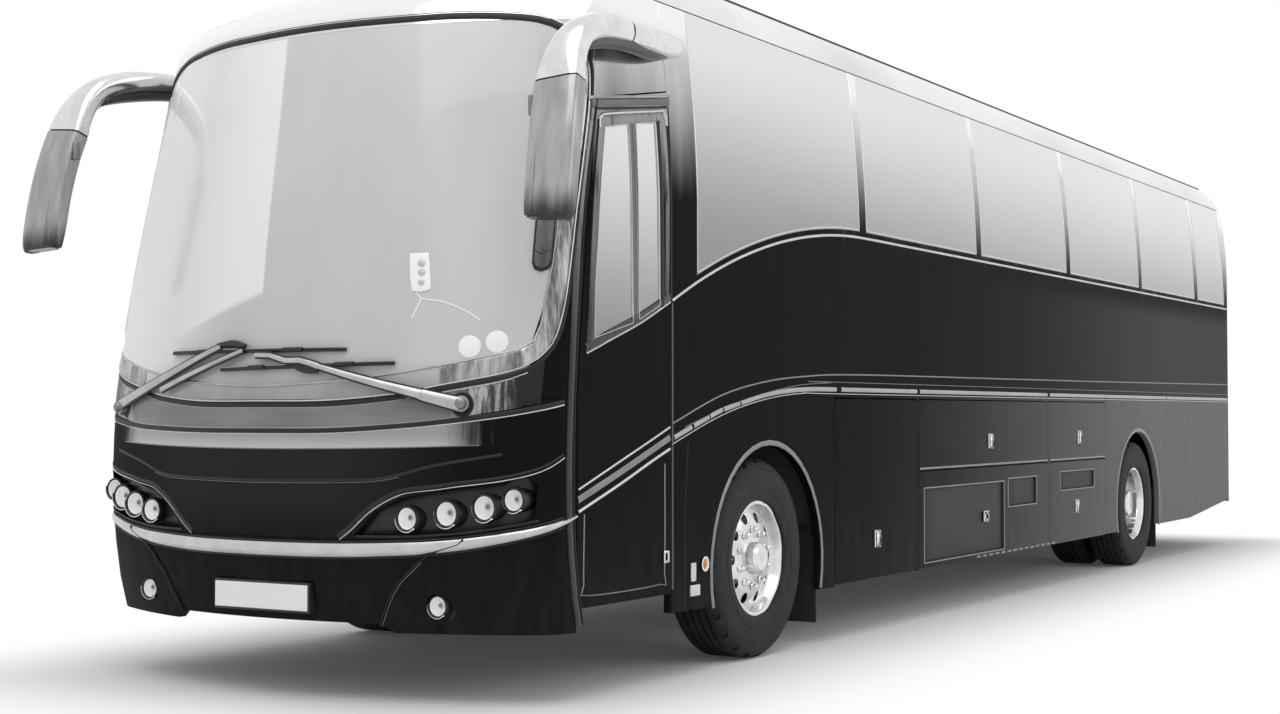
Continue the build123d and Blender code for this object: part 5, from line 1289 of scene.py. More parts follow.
class COACH_OT_trim(bpy.types.Operator):
    """Bright and dark trim strips, mouldings, seams and arch edges"""

    bl_idname = "coach.trim"
    bl_label = "Trim"

    def execute(self, context):
        rise = sizes().strip_rise
        for side, form in SIDES:
            sweep = [AXLE + a for a in (-0.94, -0.7, -0.45, -0.2, 0.1, 0.4, 0.7, 1.0, 1.3, 2.0)]
            belt_line = [(y, belt(y) - 0.03) for y in sweep] + [(y, BELT - 0.03) for y in (0.0, 2.0, 4.0, 5.88)]
            upper = [
                (AXLE - 0.94, 1.183), (AXLE - 0.896, 1.195), (AXLE - 0.473, 1.314), (AXLE - 0.047, 1.383),
                (AXLE + 0.414, 1.421), (AXLE + 1.2, 1.445), (0.0, 1.46), (2.5, 1.475), (5.88, 1.5),
            ]
            strip = [
                (AXLE - 0.94, 1.112), (AXLE - 0.896, 1.126), (AXLE - 0.474, 1.242), (AXLE - 0.048, 1.318),
                (AXLE + 0.414, 1.358), (AXLE + 1.0, 1.36), (1.5, 1.36), (5.88, 1.36),
            ]
            bright = strips(form, (belt_line, 0.014, rise, 0.1), (moved(strip, 0.0, -0.024), 0.007, rise, 0.1))
            laid("belt_lines_" + side, bright, "bright_trim", "gloss_black")
            bars = []
            for y0, y1 in STRIP_BARS:
                count = max(2, round((y1 - y0) / 0.3))
                ys = [y0 + (y1 - y0) * k / count for k in range(count + 1)]
                bars.append(ribbon([(y, read(strip, y)) for y in ys], 0.024, rise * 1.4, form, 0.1))
            laid("waist_bars_" + side, bars, "strip", "gloss_black")
            second = [
                (AXLE - 0.821, 1.167), (AXLE - 0.261, 1.29), (AXLE + 0.342, 1.372), (AXLE + 0.815, 1.395),
                (AXLE + 1.2, 1.4), (5.88, 1.405),
            ]
            satin = strips(form, (upper, 0.008, rise * 0.7, 0.1), (second, 0.005, rise * 0.6, 0.1))
            laid("waist_mouldings_" + side, satin, "dull_trim", "gloss_black")
            arches = []
            for cy, cz, r in ((AXLE + 0.06, 0.46, 0.622), (REAR_AXLE, 0.48, 0.617)):
                a0 = asin((ARCH_FOOT - cz) / r)
                turns = [a0 + (pi - 2 * a0) * k / 24 for k in range(25)]
                arch = [(cy - r * cos(a), cz + r * sin(a)) for a in turns]
                arches.append(ribbon(arch, 0.026, rise, form, 0.08))
            laid("arch_edges_" + side, arches, "dull_trim", "gloss_black")
        for side, sign in (("left", 1), ("right", -1)):
            edge = lambda y, w, out, sign=sign: Vector((sign * (side_x(w) + out * 0.6), y, w + out * 0.8))
            gutter = ribbon([(y, 3.338) for y in (-4.72, -3.0, -1.0, 1.0, 3.0, 5.0, 5.6)], 0.014, 0.006, edge, 0.3)
            seam = ribbon([(y, 3.153) for y in (-4.9, -3.0, -1.0, 1.0, 3.0, 5.0, 5.85)], 0.005, 0.0012, edge, 0.3)
            laid("roof_gutter_" + side, [gutter, seam], "gasket", "gloss_black")
        # bright blade over the bumper, tapering round both corners
        rows = [
            (0.0, 0.648), (0.38, 0.650), (0.62, 0.658), (0.80, 0.667), (0.97, 0.684), (1.14, 0.710), (1.30, 0.742),
            (1.43, 0.773), (1.52, 0.795),
        ]
        blade = ribbon(both(rows), 0.060, 0.011, on_front, 0.05, taper=lambda t: 1.0 - 0.75 * (abs(2 * t - 1)) ** 3)
        laid("bumper_blade", [blade], "blade", "gloss_black")
        # the dark lines under and over the blade draw in with it
        lower = [(t, z - 0.034 + 0.018 * (t / 1.5) ** 3) for t, z in rows[:-1]]
        upper = [(t, z + 0.036 - 0.018 * (t / 1.5) ** 3) for t, z in rows[:-1]]
        seam_rows = [
            (0.978, 0.706), (0.951, 0.684), (0.861, 0.656), (0.784, 0.612), (0.679, 0.517), (0.622, 0.435),
            (0.581, 0.36), (0.568, 0.335),
        ]
        crease = [
            (0.0, 0.941), (0.389, 0.946), (0.59, 0.953), (0.706, 0.972), (0.804, 1.0), (0.929, 1.025), (1.054, 1.045),
            (1.147, 1.06),
        ]
        seams = strips(on_front, (both(lower), 0.008, 0.003, 0.05), (both(upper), 0.009, 0.003, 0.05))
        # the crease is drawn as a dark strip of painted shade, and the satin glints beside the crease and the corner
        # seams are painted highlights
        glints = []
        for side in (1, -1):
            seams += strips(
                on_front, (turned_over(seam_rows, side), 0.008, 0.012, 0.04),
                (turned_over(crease, side), 0.012, 0.0015, 0.05),
            )
            glints += strips(
                on_front,
                (turned_over(moved(seam_rows[3:], 0.008, -0.003), side), 0.004, 0.0025, 0.04),
                (turned_over(moved(crease[:4], 0.0, -0.009), side), 0.003, 0.0015, 0.05),
            )
        laid("nose_seams", seams, "gasket", "gloss_black")
        laid("nose_glints", glints, "dull_trim", "gloss_black")
        # dark groove under the cowl, with a bright lip that thickens to the door side, which is a painted highlight,
        # and a fold below
        near = [
            (0.0, 1.156), (0.381, 1.159), (0.70, 1.178), (0.924, 1.200), (1.141, 1.228), (1.284, 1.253), (1.42, 1.280),
        ]
        far = [(1.42, 1.238), (1.22, 1.206), (0.924, 1.176), (0.70, 1.165), (0.38, 1.157)]
        groove_row = turned_over(far, -1) + near
        groove = ribbon(groove_row, 0.020, 0.003, on_front, 0.05)
        laid("cowl_groove", [groove], "gasket", "gloss_black")
        swell = lambda t: 0.42 + 1.3 * max(0.0, t - 0.72)
        lip = ribbon(moved(groove_row, 0.0, -0.014), 0.013, 0.004, on_front, 0.05, taper=swell)
        laid("cowl_lip", [lip], "bright_trim", "gloss_black")
        fold = ribbon(
            [(1.05 * k / 12, 1.079 + 0.019 * (k / 12) ** 2) for k in range(-12, 13)], 0.005, 0.002, on_front, 0.05,
        )
        laid("band_fold", [fold], "dull_trim", "gloss_black")
        under_glass = both(moved(SCREEN_EDGE[:7], 0.0, -0.030))
        over_groove = [
            (-1.30, 1.236), (-0.93, 1.190), (-0.5, 1.174), (0.0, 1.169), (0.5, 1.179), (0.93, 1.213), (1.30, 1.268),
        ]
        cowl = ruled(over_groove, under_glass, 0.003, on_front, 60, 8)
        laid("scuttle_grille", [cowl], "scuttle", "trim_plastic")
        return {"FINISHED"}


class COACH_OT_door(bpy.types.Operator):
    """Posts, head rail, glass frame, seals, waist lines, recess line and handle of the entry door"""

    bl_idname = "coach.door"
    bl_label = "Door"

    def execute(self, context):
        # posts of the doorway
        post = ribbon(DOOR_POST, 0.046, 0.004, on_front, 0.06, taper=lambda t: 0.8 + 0.2 * min(1.0, t * 3))
        laid("door_front_post", [post], "post", "gloss_black")
        edges = [ribbon(moved(DOOR_POST, shift, 0.0), 0.008, 0.006, on_front, 0.06) for shift in (-0.026, 0.026)]
        edges += strips(
            on_left,
            ([(-4.745, z) for z in (0.42, 1.0, 1.6, 2.2, 2.7)], 0.008, 0.002, 0.1),
            ([(-4.62, 0.31), (-4.615, 0.8), (-4.59, 1.1)], 0.005, 0.0015, 0.1),
        )
        laid("door_post_edges", edges, "gasket", "gloss_black")
        glint = ribbon([(-4.736, z) for z in (0.42, 1.0, 1.6, 1.74)], 0.004, 0.002, on_left, 0.1)
        laid("door_post_glint", [glint], "dull_trim", "gloss_black")
        body = "passenger_door"
        # flared head rail with a round moulding under it, carried on down as the frame of the door glass
        head = lambda y, drop: read([(-5.48, 2.600), (-5.15, 2.649), (-4.68, 2.719)], y) - drop
        flare = lambda t: 0.75 + 0.6 * (2 * abs(t - 0.5)) ** 8
        rail = ribbon(
            [(y, head(y, 0.030)) for y in (-5.425, -5.25, -5.05, -4.88, -4.745)], 0.044, 0.010, on_left, 0.04,
            taper=flare,
        )
        # the bright lip along the top of the rail is a painted highlight, and the dark strip under the rail is painted
        # shade
        lip, rail_shade = strips(
            on_left,
            ([(y, head(y, 0.008)) for y in (-5.43, -5.25, -5.05, -4.88, -4.74)], 0.006, 0.015, 0.04),
            ([(y, head(y, 0.058)) for y in (-5.40, -5.25, -5.05, -4.88, -4.76)], 0.012, 0.003, 0.04),
        )
        tube_rows = [
            (-5.372, 2.475), (-5.366, 2.515), (-5.345, 2.534), (-5.25, 2.553), (-5.05, 2.586), (-4.88, 2.613),
            (-4.80, 2.624), (-4.782, 2.606), (-4.776, 2.56),
        ]
        moulding = ribbon(tube_rows, 0.017, 0.010, on_left, 0.03)
        laid("door_head_rail", [rail], "rail_grey", "gloss_black", body)
        laid("door_head_mouldings", [lip, moulding], "bright_trim", "gloss_black", body)
        sill = [(-5.490, 1.487), (-5.383, 1.521), (-5.291, 1.552), (-5.033, 1.636), (-4.762, 1.744)]
        left = [(-5.457, 1.505), (-5.447, 1.63), (-5.434, 1.85), (-5.414, 2.08), (-5.385, 2.31), (-5.345, 2.51)]
        frame_strips = strips(
            on_left,
            (left, 0.050, 0.004, 0.06),
            (moved(sill, 0.0, 0.024), 0.034, 0.004, 0.06),
            ([(-5.345, 2.500), (-5.05, 2.554), (-4.80, 2.592)], 0.046, 0.004, 0.06),
            ([(-4.790, 1.75), (-4.783, 1.95), (-4.783, 2.3), (-4.795, 2.59)], 0.034, 0.005, 0.06),
        )
        laid("door_glass_frame", frame_strips, "post", "gloss_black", body)
        middle = [(-5.071, 1.64), (-5.078, 2.1), (-5.090, 2.53)]
        dark = [rail_shade] + strips(
            on_left,
            ([(-4.830, 1.72), (-4.834, 2.1), (-4.848, 2.575)], 0.034, 0.006, 0.08),
            (moved(left[1:], -0.026, 0.0), 0.008, 0.006, 0.06),
            ([(-4.758, 1.76), (-4.756, 2.1), (-4.766, 2.58)], 0.010, 0.006, 0.08),
            (moved(sill[1:], 0.0, 0.046), 0.006, 0.0045, 0.06),
            (middle, 0.005, 0.0045, 0.1),
        )
        lines = strips(
            on_left,
            (sill, 0.012, 0.006, 0.05),
            ([(-5.420, 1.56), (-5.417, 1.778), (-5.394, 2.01), (-5.365, 2.275), (-5.321, 2.487)], 0.006, 0.0055, 0.08),
        )
        # bright edges of the two lights of the door glass
        uprights = [(-5.098, -5.121, 1.634, 2.522), (-5.044, -5.059, 1.652, 2.533), (-4.858, -4.881, 1.725, 2.560)]
        runs = [[(y0, low), ((y0 + y1) / 2, 2.1), (y1, high)] for y0, y1, low, high in uprights]
        runs += [[(-5.321, 2.485), (-5.121, 2.522)], [(-5.059, 2.533), (-4.881, 2.561)]]
        runs += [[(-5.418, 1.558), (-5.098, 1.634)], [(-5.044, 1.652), (-4.858, 1.725)]]
        lines += strips(on_left, *((run, 0.006, 0.0055, 0.1) for run in runs))
        laid("door_bright_lines", lines, "bright_trim", "gloss_black", body)
        divider = ribbon(middle, 0.050, 0.0035, on_left, 0.1)
        laid("door_glass_divider", [divider], "rail_grey", "gloss_black", body)
        laid("door_seals", dark, "gasket", "gloss_black", body)
        upper, lower, fill = strips(
            on_left,
            ([(-5.548, 0.905), (-5.2, 1.02), (-4.93, 1.109), (-4.762, 1.166)], 0.010, 0.003, 0.06),
            ([(-5.548, 0.81), (-5.2, 0.92), (-4.93, 1.012), (-4.762, 1.066)], 0.014, 0.004, 0.06),
            ([(-5.548, 0.862), (-5.2, 0.972), (-4.93, 1.062), (-4.762, 1.118)], 0.03, 0.002, 0.06),
        )
        laid("door_waist_lines", [upper, lower], "bright_trim", "gloss_black", body)
        laid("door_waist_fill", [fill], "dull_trim", "gloss_black", body)
        well = [(-5.50, 0.80), (-5.505, 0.50), (-5.47, 0.452), (-4.86, 0.452), (-4.815, 0.50), (-4.81, 1.0)]
        recess = ribbon(well, 0.007, 0.003, on_left, 0.03)
        laid("door_lower_line", [recess], "dull_trim", "gloss_black", body)
        grip = block((HALF - 0.004, -4.835, 0.545), (HALF + 0.016, -4.79, 0.605), 0.006)
        sunk(grip, (0.008, -0.006))
        laid("door_handle", [grip], "chrome", "trim_plastic", body)
        return {"FINISHED"}


VENTS = [
    ("locker_e", "intake", -1.68, -0.28, 0.33, 0.78),
    ("locker_e", "small_vent", -0.20, 0.38, 0.605, 0.795),
    ("locker_d", "rear_vent", 0.895, 1.705, 0.675, 0.81),
]
# locker, side, place along the coach and level of its latch
LATCHES = [
    (
        "locker_a", 1, -2.39, 0.52,
    ), ("locker_b", 1, -0.54, 1.05), ("locker_c", 1, 1.34, 1.055), ("locker_d", 1, 1.28, 0.549),
    ("locker_r1", -1, -2.0, 0.52), ("locker_r2", -1, 0.6, 0.52),
]


class COACH_OT_flank(bpy.types.Operator):
    """Locker latches, intake mesh, vent frames, rear seams, marker lamps and the slatted sill strip"""

    bl_idname = "coach.flank"
    bl_label = "Flank details"

    def execute(self, context):
        latch = block((HALF - 0.003, -0.035, -0.05), (HALF + 0.007, 0.035, 0.05), 0.004)
        sunk(latch, (0.008, 0), (0.003, -0.007))
        bar = block((HALF - 0.002, -0.02, 0.004), (HALF + 0.006, 0.02, 0.03), 0.004)
        pad = block((HALF - 0.002, -0.014, -0.034), (HALF + 0.004, 0.014, -0.012), 0.003)
        coated(latch, "chrome"), coated(bar, "chrome"), coated(pad, "black_plastic")
        for node, side, y, z in LATCHES:
            turn = Matrix.Translation((0, y, z)) @ (Matrix.Identity(4) if side > 0 else Matrix.Rotation(pi, 4, "Z"))
            parts = [copied(p, "latch", turn) for p in (latch, bar, pad)]
            riding(joined("latch_" + node, parts), node, "trim_plastic")
        discard(latch, bar, pad)
        # light box latch on the intake, its mesh and the frames of the vents
        box = block((HALF - 0.01, -0.66, 0.525), (HALF + 0.006, -0.57, 0.60), 0.012, 4)
        sunk(box, (0.02, -0.004))
        laid("intake_latch", [box], "bright_trim", "trim_plastic", "locker_e")
        for node, name, y0, y1, z0, z1 in VENTS:
            mesh = patch([(y0, z0), (y1, z0), (y1, z1), (y0, z1)], -0.012, 0.004, on_left, 0.2)
            laid(name + "_mesh", [mesh], "gasket", "trim_plastic", node)
            loop = [(y0, z0), (y1, z0), (y1, z1), (y0, z1), (y0, z0)]
            frame_strip = joined(
                "frame", [ribbon([a, b], 0.009, 0.003, on_left, 0.3, corners=True) for a, b in zip(loop, loop[1:])],
            )
            laid(name + "_frame", [frame_strip], "dull_trim", "trim_plastic", node)
        for node, y0, y1 in (("locker_b", -1.745, 0.615), ("locker_c", 0.67, 1.985)):
            rail = ribbon([(y0, 0.898), (y1, 0.898)], 0.013, 0.003, on_left, 0.3, corners=True)
            laid("rail_" + node, [rail], "dull_trim", "gloss_black", node)
        for side, form in SIDES:
            seams = [
                ribbon([(AXLE + y, 0.35), (AXLE + y, 0.8), (AXLE + y, 1.33)], 0.005, 0.0015, form, 0.3)
                for y in (7.37, 8.36)
            ]
            laid("rear_seams_" + side, seams, "dull_trim", "gloss_black")
        # slatted strip under the sill
        slats = []
        for k in range(14):
            y = -0.8 + k * 0.115
            slats.append(block((HALF - 0.006, y, 0.303), (HALF + 0.003, y + 0.07, 0.318), 0.002, 2))
        laid("sill_slats", slats, "dull_trim", "trim_plastic", "locker_e")
        # marker lamps ahead of the front wheel
        for side, word in ((1, "left"), (-1, "right")):
            ring = turned(
                [(0.030, 0.0), (0.036, 0.003), (0.036, 0.009), (0.030, 0.011), (0.024, 0.006), (0.024, 0.0)],
                (side * HALF, AXLE - 0.636, 0.516), (side, 0, 0), 32,
            )
            cap = turned(
                [(0.0, 0.013), (0.012, 0.011), (0.024, 0.005), (0.024, 0.001), (0.0, 0.001)],
                (side * HALF, AXLE - 0.636, 0.516), (side, 0, 0), 32,
            )
            x0, x1 = sorted((side * (HALF - 0.003), side * (HALF + 0.008)))
            bar = block((x0, AXLE - 0.768, 0.44), (x1, AXLE - 0.722, 0.53), 0.006)
            square = block((x0, AXLE - 0.775, 0.372), (x1, AXLE - 0.685, 0.425), 0.005)
            parts = ((ring, "chrome"), (cap, "amber_lens"), (bar, "bright_trim"), (square, "clear_marker"))
            laid_parts("side_markers_" + word, parts, "lamp_clear")
        return {"FINISHED"}


# ---------------------------------------------------------------- lamps
# place across, level and radius of each round lamp; lines over and under them as (way round the nose, level)
LAMPS = [(0.731, 0.79, 0.052), (0.893, 0.812, 0.056), (1.04, 0.838, 0.056), (1.15, 0.87, 0.05)]
FOG_LAMP = (0.825, 0.422, 0.046)
UNIT_LAMP = 0.052
ORIGIN, AHEAD = (0, 0, 0), (0, -1, 0)
LAMP_TOP = [
    (0.42, 0.700), (0.483, 0.745), (0.555, 0.808), (0.627, 0.856), (0.706, 0.892), (0.768, 0.905), (0.858, 0.914),
    (0.96, 0.929), (1.148, 0.953), (1.305, 0.99), (1.43, 1.047),
]
LAMP_FOOT = [(0.50, 0.712), (0.75, 0.716), (1.0, 0.735), (1.2, 0.765), (1.30, 0.785)]


def lamp_unit(radius):
    """One round lamp facing -Y at the origin: bezel, bright rim, bowl, bulb and lens, as a list of pieces; the bright
    rim is a chrome crescent that stands for a painted highlight.
    """
    r = radius
    bezel = turned(
        [
            (r * 0.86, -0.010), (r * 0.88, 0.006), (r * 0.94, 0.012), (r * 1.04, 0.010), (r * 1.10, 0.002),
            (r * 1.10, -0.02), (r * 0.86, -0.02),
        ],
        ORIGIN,
        AHEAD,
        40,
    )
    rim = turned(
        [
            (r * 1.03, 0.010), (r * 1.06, 0.0165), (r * 1.12, 0.0155), (r * 1.15, 0.008), (r * 1.15, -0.01),
            (r * 1.03, -0.01),
        ],
        ORIGIN,
        AHEAD,
        40,
    )
    with Edit(rim) as edit:
        # only the lower half of the rim on its outer side stands proud, a chrome crescent that is a painted highlight
        if edit.faces(lambda c, n: c.z > r * 0.25 or c.x > r * 0.75):
            bpy.ops.mesh.delete(type="FACE")
            bpy.ops.mesh.select_all(action="SELECT")
            bpy.ops.mesh.fill_holes(sides=0)
    bowl = turned(
        [
            (0.0, -0.010), (r * 0.3, -0.008), (r * 0.6, -0.002), (r * 0.87, 0.007), (r * 0.88, 0.002),
            (r * 0.6, -0.012), (r * 0.3, -0.018), (0.0, -0.02),
        ],
        ORIGIN,
        AHEAD,
        40,
    )
    bulb = turned(
        [(0.0, 0.007), (r * 0.12, 0.006), (r * 0.19, 0.001), (r * 0.21, -0.014), (0.0, -0.014)],
        (r * 0.24, 0, r * 0.10), AHEAD, 24,
    )
    collar = turned(
        [(r * 0.19, 0.000), (r * 0.28, -0.001), (r * 0.32, -0.006), (r * 0.32, -0.014), (r * 0.19, -0.014)],
        (r * 0.24, 0, r * 0.10), AHEAD, 24,
    )
    glass = turned(
        [(0.0, 0.013), (r * 0.45, 0.0105), (r * 0.81, 0.004), (r * 0.81, 0.001), (r * 0.45, 0.0075), (0.0, 0.010)],
        ORIGIN, AHEAD, 40,
    )
    return [
        coated(bezel, "black_plastic"), coated(rim, "chrome"), coated(bowl, "reflector"),
        coated(bulb, "black_plastic"), coated(collar, "dull_glass"), coated(glass, "clear_lens"),
    ]


class COACH_OT_lamps(bpy.types.Operator):
    """Head, fog and tail lamps"""

    bl_idname = "coach.lamps"
    bl_label = "Lamps"

    def execute(self, context):
        dressed("front_lamps", "lamp_backing", "black_plastic", "lamp_clear", 0.001)
        unit = lamp_unit(UNIT_LAMP)
        groups = [[] for _ in unit]
        for x, z, r in LAMPS + [FOG_LAMP]:
            for side in (1, -1):
                p = on_front(along(x) * side, z, -0.004 if z > 0.5 else -0.001)
                p.y = min(p.y, on_front(along(x) * side, z).y + 0.006)
                move = Matrix.Translation(p) @ Matrix.Scale(r / UNIT_LAMP, 4)
                for group, part in zip(groups, unit):
                    group.append(copied(part, "lamp", move))
        discard(*unit)
        for name, group in zip(("bezels", "rims", "reflectors", "bulb_caps", "bulb_collars", "lenses"), groups):
            riding(joined("lamp_" + name, group), BODY, "lamp_clear")
        # the bright strips along the tops of the lamp recesses are painted highlights, and the dark strips over them
        # and under the lamps are painted shade
        edges, shades = [], []
        for side in (1, -1):
            edges.append(ribbon(
                turned_over(moved(LAMP_TOP, 0.004, -0.003), side), 0.006, 0.004, on_front, 0.04,
                taper=lambda t: 0.35 + 0.9 * min(1.0, max(0.0, t * 2 - 0.3)),
            ))
            shades.append(ribbon(
                turned_over(moved(LAMP_TOP, -0.003, 0.010), side), 0.017, 0.003, on_front, 0.04,
                taper=lambda t: 1.2 - 0.6 * t,
            ))
            shades.append(ribbon(turned_over(LAMP_FOOT, side), 0.010, 0.002, on_front, 0.04))
        laid("lamp_recess_edges", edges, "bright_trim", "gloss_black")
        laid("lamp_recess_shades", shades, "gasket", "gloss_black")
        dressed("tail_lamps", "tail_lamp_lenses", "red_lens", "lamp_red", 0.003, 3)
        return {"FINISHED"}


# ---------------------------------------------------------------- wheels
WHEEL_X, TWIN_X, AXLE_Z = 1.112, 0.777, 0.5
NUTS, NUT_CIRCLE = 10, 0.145


def tyre(name):
    """Tyre round the origin from its rounded profile, with tread grooves, shoulder lugs and sidewall ribs."""
    w, r = 0.1445, 0.4995
    # radius, and distance in from the widest place
    wall = [
        (0.289, 0.022), (0.296, 0.012), (0.33, 0.004), (0.345, 0.0035), (0.348, 0.001), (0.354, 0.001),
        (0.357, 0.0035), (0.40, 0.0015), (0.43, 0.004), (0.452, 0.008), (0.455, 0.006), (0.462, 0.008),
        (0.480, 0.018), (r - 0.007, 0.032),
    ]
    profile = [(reach, -w + inset) for reach, inset in wall]
    tread = [(r, -w + 0.045)]
    for groove in (-0.062, -0.021, 0.021, 0.062):
        tread += [(r, groove - 0.006), (r - 0.013, groove - 0.0045), (r - 0.013, groove + 0.0045), (r, groove + 0.006)]
    tread.append((r, w - 0.045))
    profile = profile + tread + [(a, -b) for a, b in reversed(profile)] + [(0.289, 0.0)]
    obj = turned(profile, (0, 0, 0), (1, 0, 0), sizes().tyre_segments, name)
    # shoulder lugs: every other cell of both shoulders is let in
    step = 2 * pi / sizes().tyre_segments
    with Edit(obj) as edit:
        def lug(c, n):
            reach = sqrt(c.y ** 2 + c.z ** 2)
            turn = int((atan2(c.z, c.y) + pi) / step + 1e-4) % 4
            return reach > 0.478 and 0.099 < abs(c.x) < 0.14 and turn == 0
        if edit.faces(lug):
            bpy.ops.mesh.inset(thickness=0.0015, depth=-0.009, use_individual=False)
    smooth(obj, 40)
    return coated(obj, "tyre")


class COACH_OT_wheels(bpy.types.Operator):
    """Tyres with tread, polished rims and wheel nuts"""

    bl_idname = "coach.wheels"
    bl_label = "Wheels"

    def execute(self, context):
        first = tyre("tyre")
        nut = turned(
            [
                (0.0, 0.030), (0.007, 0.029), (0.0125, 0.024), (0.0145, 0.014), (0.0165, 0.006), (0.021, 0.003),
                (0.021, 0.0), (0.0, 0.0),
            ],
            (0, 0, 0),
            (1, 0, 0),
            12,
            "nut",
        )
        coated(nut, "chrome")
        for side, word in ((1, "left"), (-1, "right")):
            turn = Matrix.Rotation(0 if side > 0 else pi, 4, "Z")
            front = copied(first, "tread_front_" + word, Matrix.Translation((side * WHEEL_X, AXLE, AXLE_Z)) @ turn)
            riding(front, "wheel_front_" + word, "tyre", "tyre_front_" + word)
            twins = [
                copied(first, "twin", Matrix.Translation((side * x, REAR_AXLE, AXLE_Z)) @ turn)
                for x in (WHEEL_X, TWIN_X)
            ]
            riding(joined("treads_rear_" + word, twins), "wheels_rear_" + word, "tyre", "tyres_rear_" + word)
            dressed("rim_front_" + word, "wheel_disc_front_" + word, "alloy", "alloy", 0.002, 2, 30)
            dressed("rims_rear_" + word, "wheel_discs_rear_" + word, "alloy", "alloy", 0.002, 2, 30)
            for y, x, body, name in (
                (AXLE, WHEEL_X + 0.094, "wheel_front_" + word, "wheel_nuts_front_"),
                (REAR_AXLE, 1.078, "wheels_rear_" + word, "wheel_nuts_rear_"),
            ):
                nuts = []
                for k in range(NUTS):
                    a = 2 * pi * (k + 0.5) / NUTS
                    place = (side * x, y + NUT_CIRCLE * cos(a), AXLE_Z + NUT_CIRCLE * sin(a))
                    nuts.append(copied(nut, "nut", Matrix.Translation(place) @ turn))
                riding(joined(name + word, nuts), body, "alloy")
        discard(first, nut)
        return {"FINISHED"}


# ---------------------------------------------------------------- mirrors, wipers and plates
# centre of a mirror head and arm at the door side, half width, half depth, squareness
HEAD = [
    (
        (1.445, -6.040, 2.008), 0.094, 0.030, 5,
    ), ((1.446, -6.037, 2.030), 0.104, 0.042, 6), ((1.445, -6.022, 2.12), 0.107, 0.047, 7),
    ((1.439, -5.990, 2.30), 0.107, 0.047, 7), ((1.428, -5.950, 2.46), 0.106, 0.047, 7), (
        (1.417, -5.912, 2.575), 0.105, 0.047, 7,
    ),
]
ELBOW = [
    ((1.416, -5.908, 2.583), 0.103, 0.046, 7), (
        (1.410, -5.884, 2.65), 0.098, 0.048, 4.5,
    ), ((1.405, -5.83, 2.735), 0.086, 0.053, 3.4),
    (
        (1.398, -5.73, 2.815), 0.068, 0.058, 2.8,
    ), ((1.386, -5.58, 2.868), 0.054, 0.060, 2.5), ((1.366, -5.40, 2.893), 0.048, 0.058, 2.4),
    ((1.350, -5.29, 2.900), 0.046, 0.055, 2.4),
]
SHOE = [
    (
        (1.352, -5.275, 2.900), 0.040, 0.050, 2.4,
    ), ((1.335, -5.15, 2.905), 0.048, 0.056, 2.6), ((1.295, -4.98, 2.912), 0.058, 0.058, 3),
    ((1.262, -4.82, 2.925), 0.060, 0.056, 3), (
        (1.240, -4.68, 2.940), 0.050, 0.048, 2.6,
    ), ((1.228, -4.60, 2.948), 0.020, 0.022, 2.2),
]
# dark cover along the underside of the arm, standing for the painted shade under it
ARM_SHADE_COVER = [
    (
        (1.392, -5.79, 2.725), 0.010, 0.012, 2.2,
    ), ((1.385, -5.70, 2.775), 0.046, 0.030, 2.4), ((1.372, -5.55, 2.822), 0.046, 0.042, 2.4),
    (
        (1.348, -5.35, 2.858), 0.042, 0.046, 2.4,
    ), ((1.315, -5.12, 2.872), 0.044, 0.044, 2.4), ((1.270, -4.90, 2.880), 0.050, 0.036, 2.4),
    ((1.240, -4.70, 2.905), 0.020, 0.014, 2.2),
]


class COACH_OT_mirrors(bpy.types.Operator):
    """Hanging mirrors: shells, glass, seams, and lacquered arms with a dark inner cover that stands for the shade under
    the arm, and a shoe on the roof
    """

    bl_idname = "coach.mirrors"
    bl_label = "Mirrors"

    def execute(self, context):
        head = swept(HEAD, "head", 40, 40)
        glass = swept(
            [((x, y + 0.045, z + 0.012), w - 0.014, 0.004, n) for (x, y, z), w, d, n in HEAD[1:5]], "glass", 24, 40,
        )
        ring = swept(
            [((1.417, -5.911, 2.572), 0.102, 0.044, 7), ((1.416, -5.909, 2.587), 0.101, 0.044, 7)], "seam", 2, 40,
        )
        elbow = swept(ELBOW, "elbow", 48, 40)
        shoe = swept(SHOE, "shoe", 40, 32)
        collar = swept(
            [((1.353, -5.295, 2.900), 0.044, 0.052, 2.4), ((1.351, -5.27, 2.900), 0.042, 0.050, 2.4)], "collar", 2, 32,
        )
        cover = swept(ARM_SHADE_COVER, "cover", 40, 24)
        # fold line along the outer edge of the shell, and the hinge lug on its inner side
        fold = tube([(x - 0.055, y - d - 0.0005, z) for (x, y, z), w, d, n in HEAD[1:]], 0.0018, "fold")
        lug = block((1.298, -5.975, 2.44), (1.322, -5.935, 2.53), 0.01)
        cable = tube(
            [
                (1.335, -5.86, 2.66), (1.334, -5.76, 2.755), (1.33, -5.62, 2.815), (1.318, -5.45, 2.85),
                (1.30, -5.28, 2.862),
            ],
            0.005,
            "cable",
        )
        pieces = (
            (head, "mirror_shell"), (glass, "mirror_glass"), (ring, "gasket"), (fold, "gasket"), (lug, "dull_trim"),
            (elbow, "mirror_arm"), (shoe, "mirror_arm"), (collar, "gasket"), (cover, "mirror_cover"),
            (cable, "gasket"),
        )
        for part, name in pieces:
            coated(part, name)
        parts = [part for part, name in pieces]
        for side, word in ((1, "left"), (-1, "right")):
            flip = Matrix.Diagonal((side, 1, 1, 1))
            twins = [copied(p, "twin", flip) for p in parts]
            riding(joined("mirror_head_" + word, twins[:5]), BODY, "mirror_plastic")
            riding(joined("mirror_arm_" + word, twins[5:]), BODY, "mirror_plastic", "mirror_" + word)
        discard(*parts)
        return {"FINISHED"}


def floating(out):
    """Surface form of the nose, stood off by a fixed distance."""
    return lambda s, z, more: on_front(s, z, out + more)


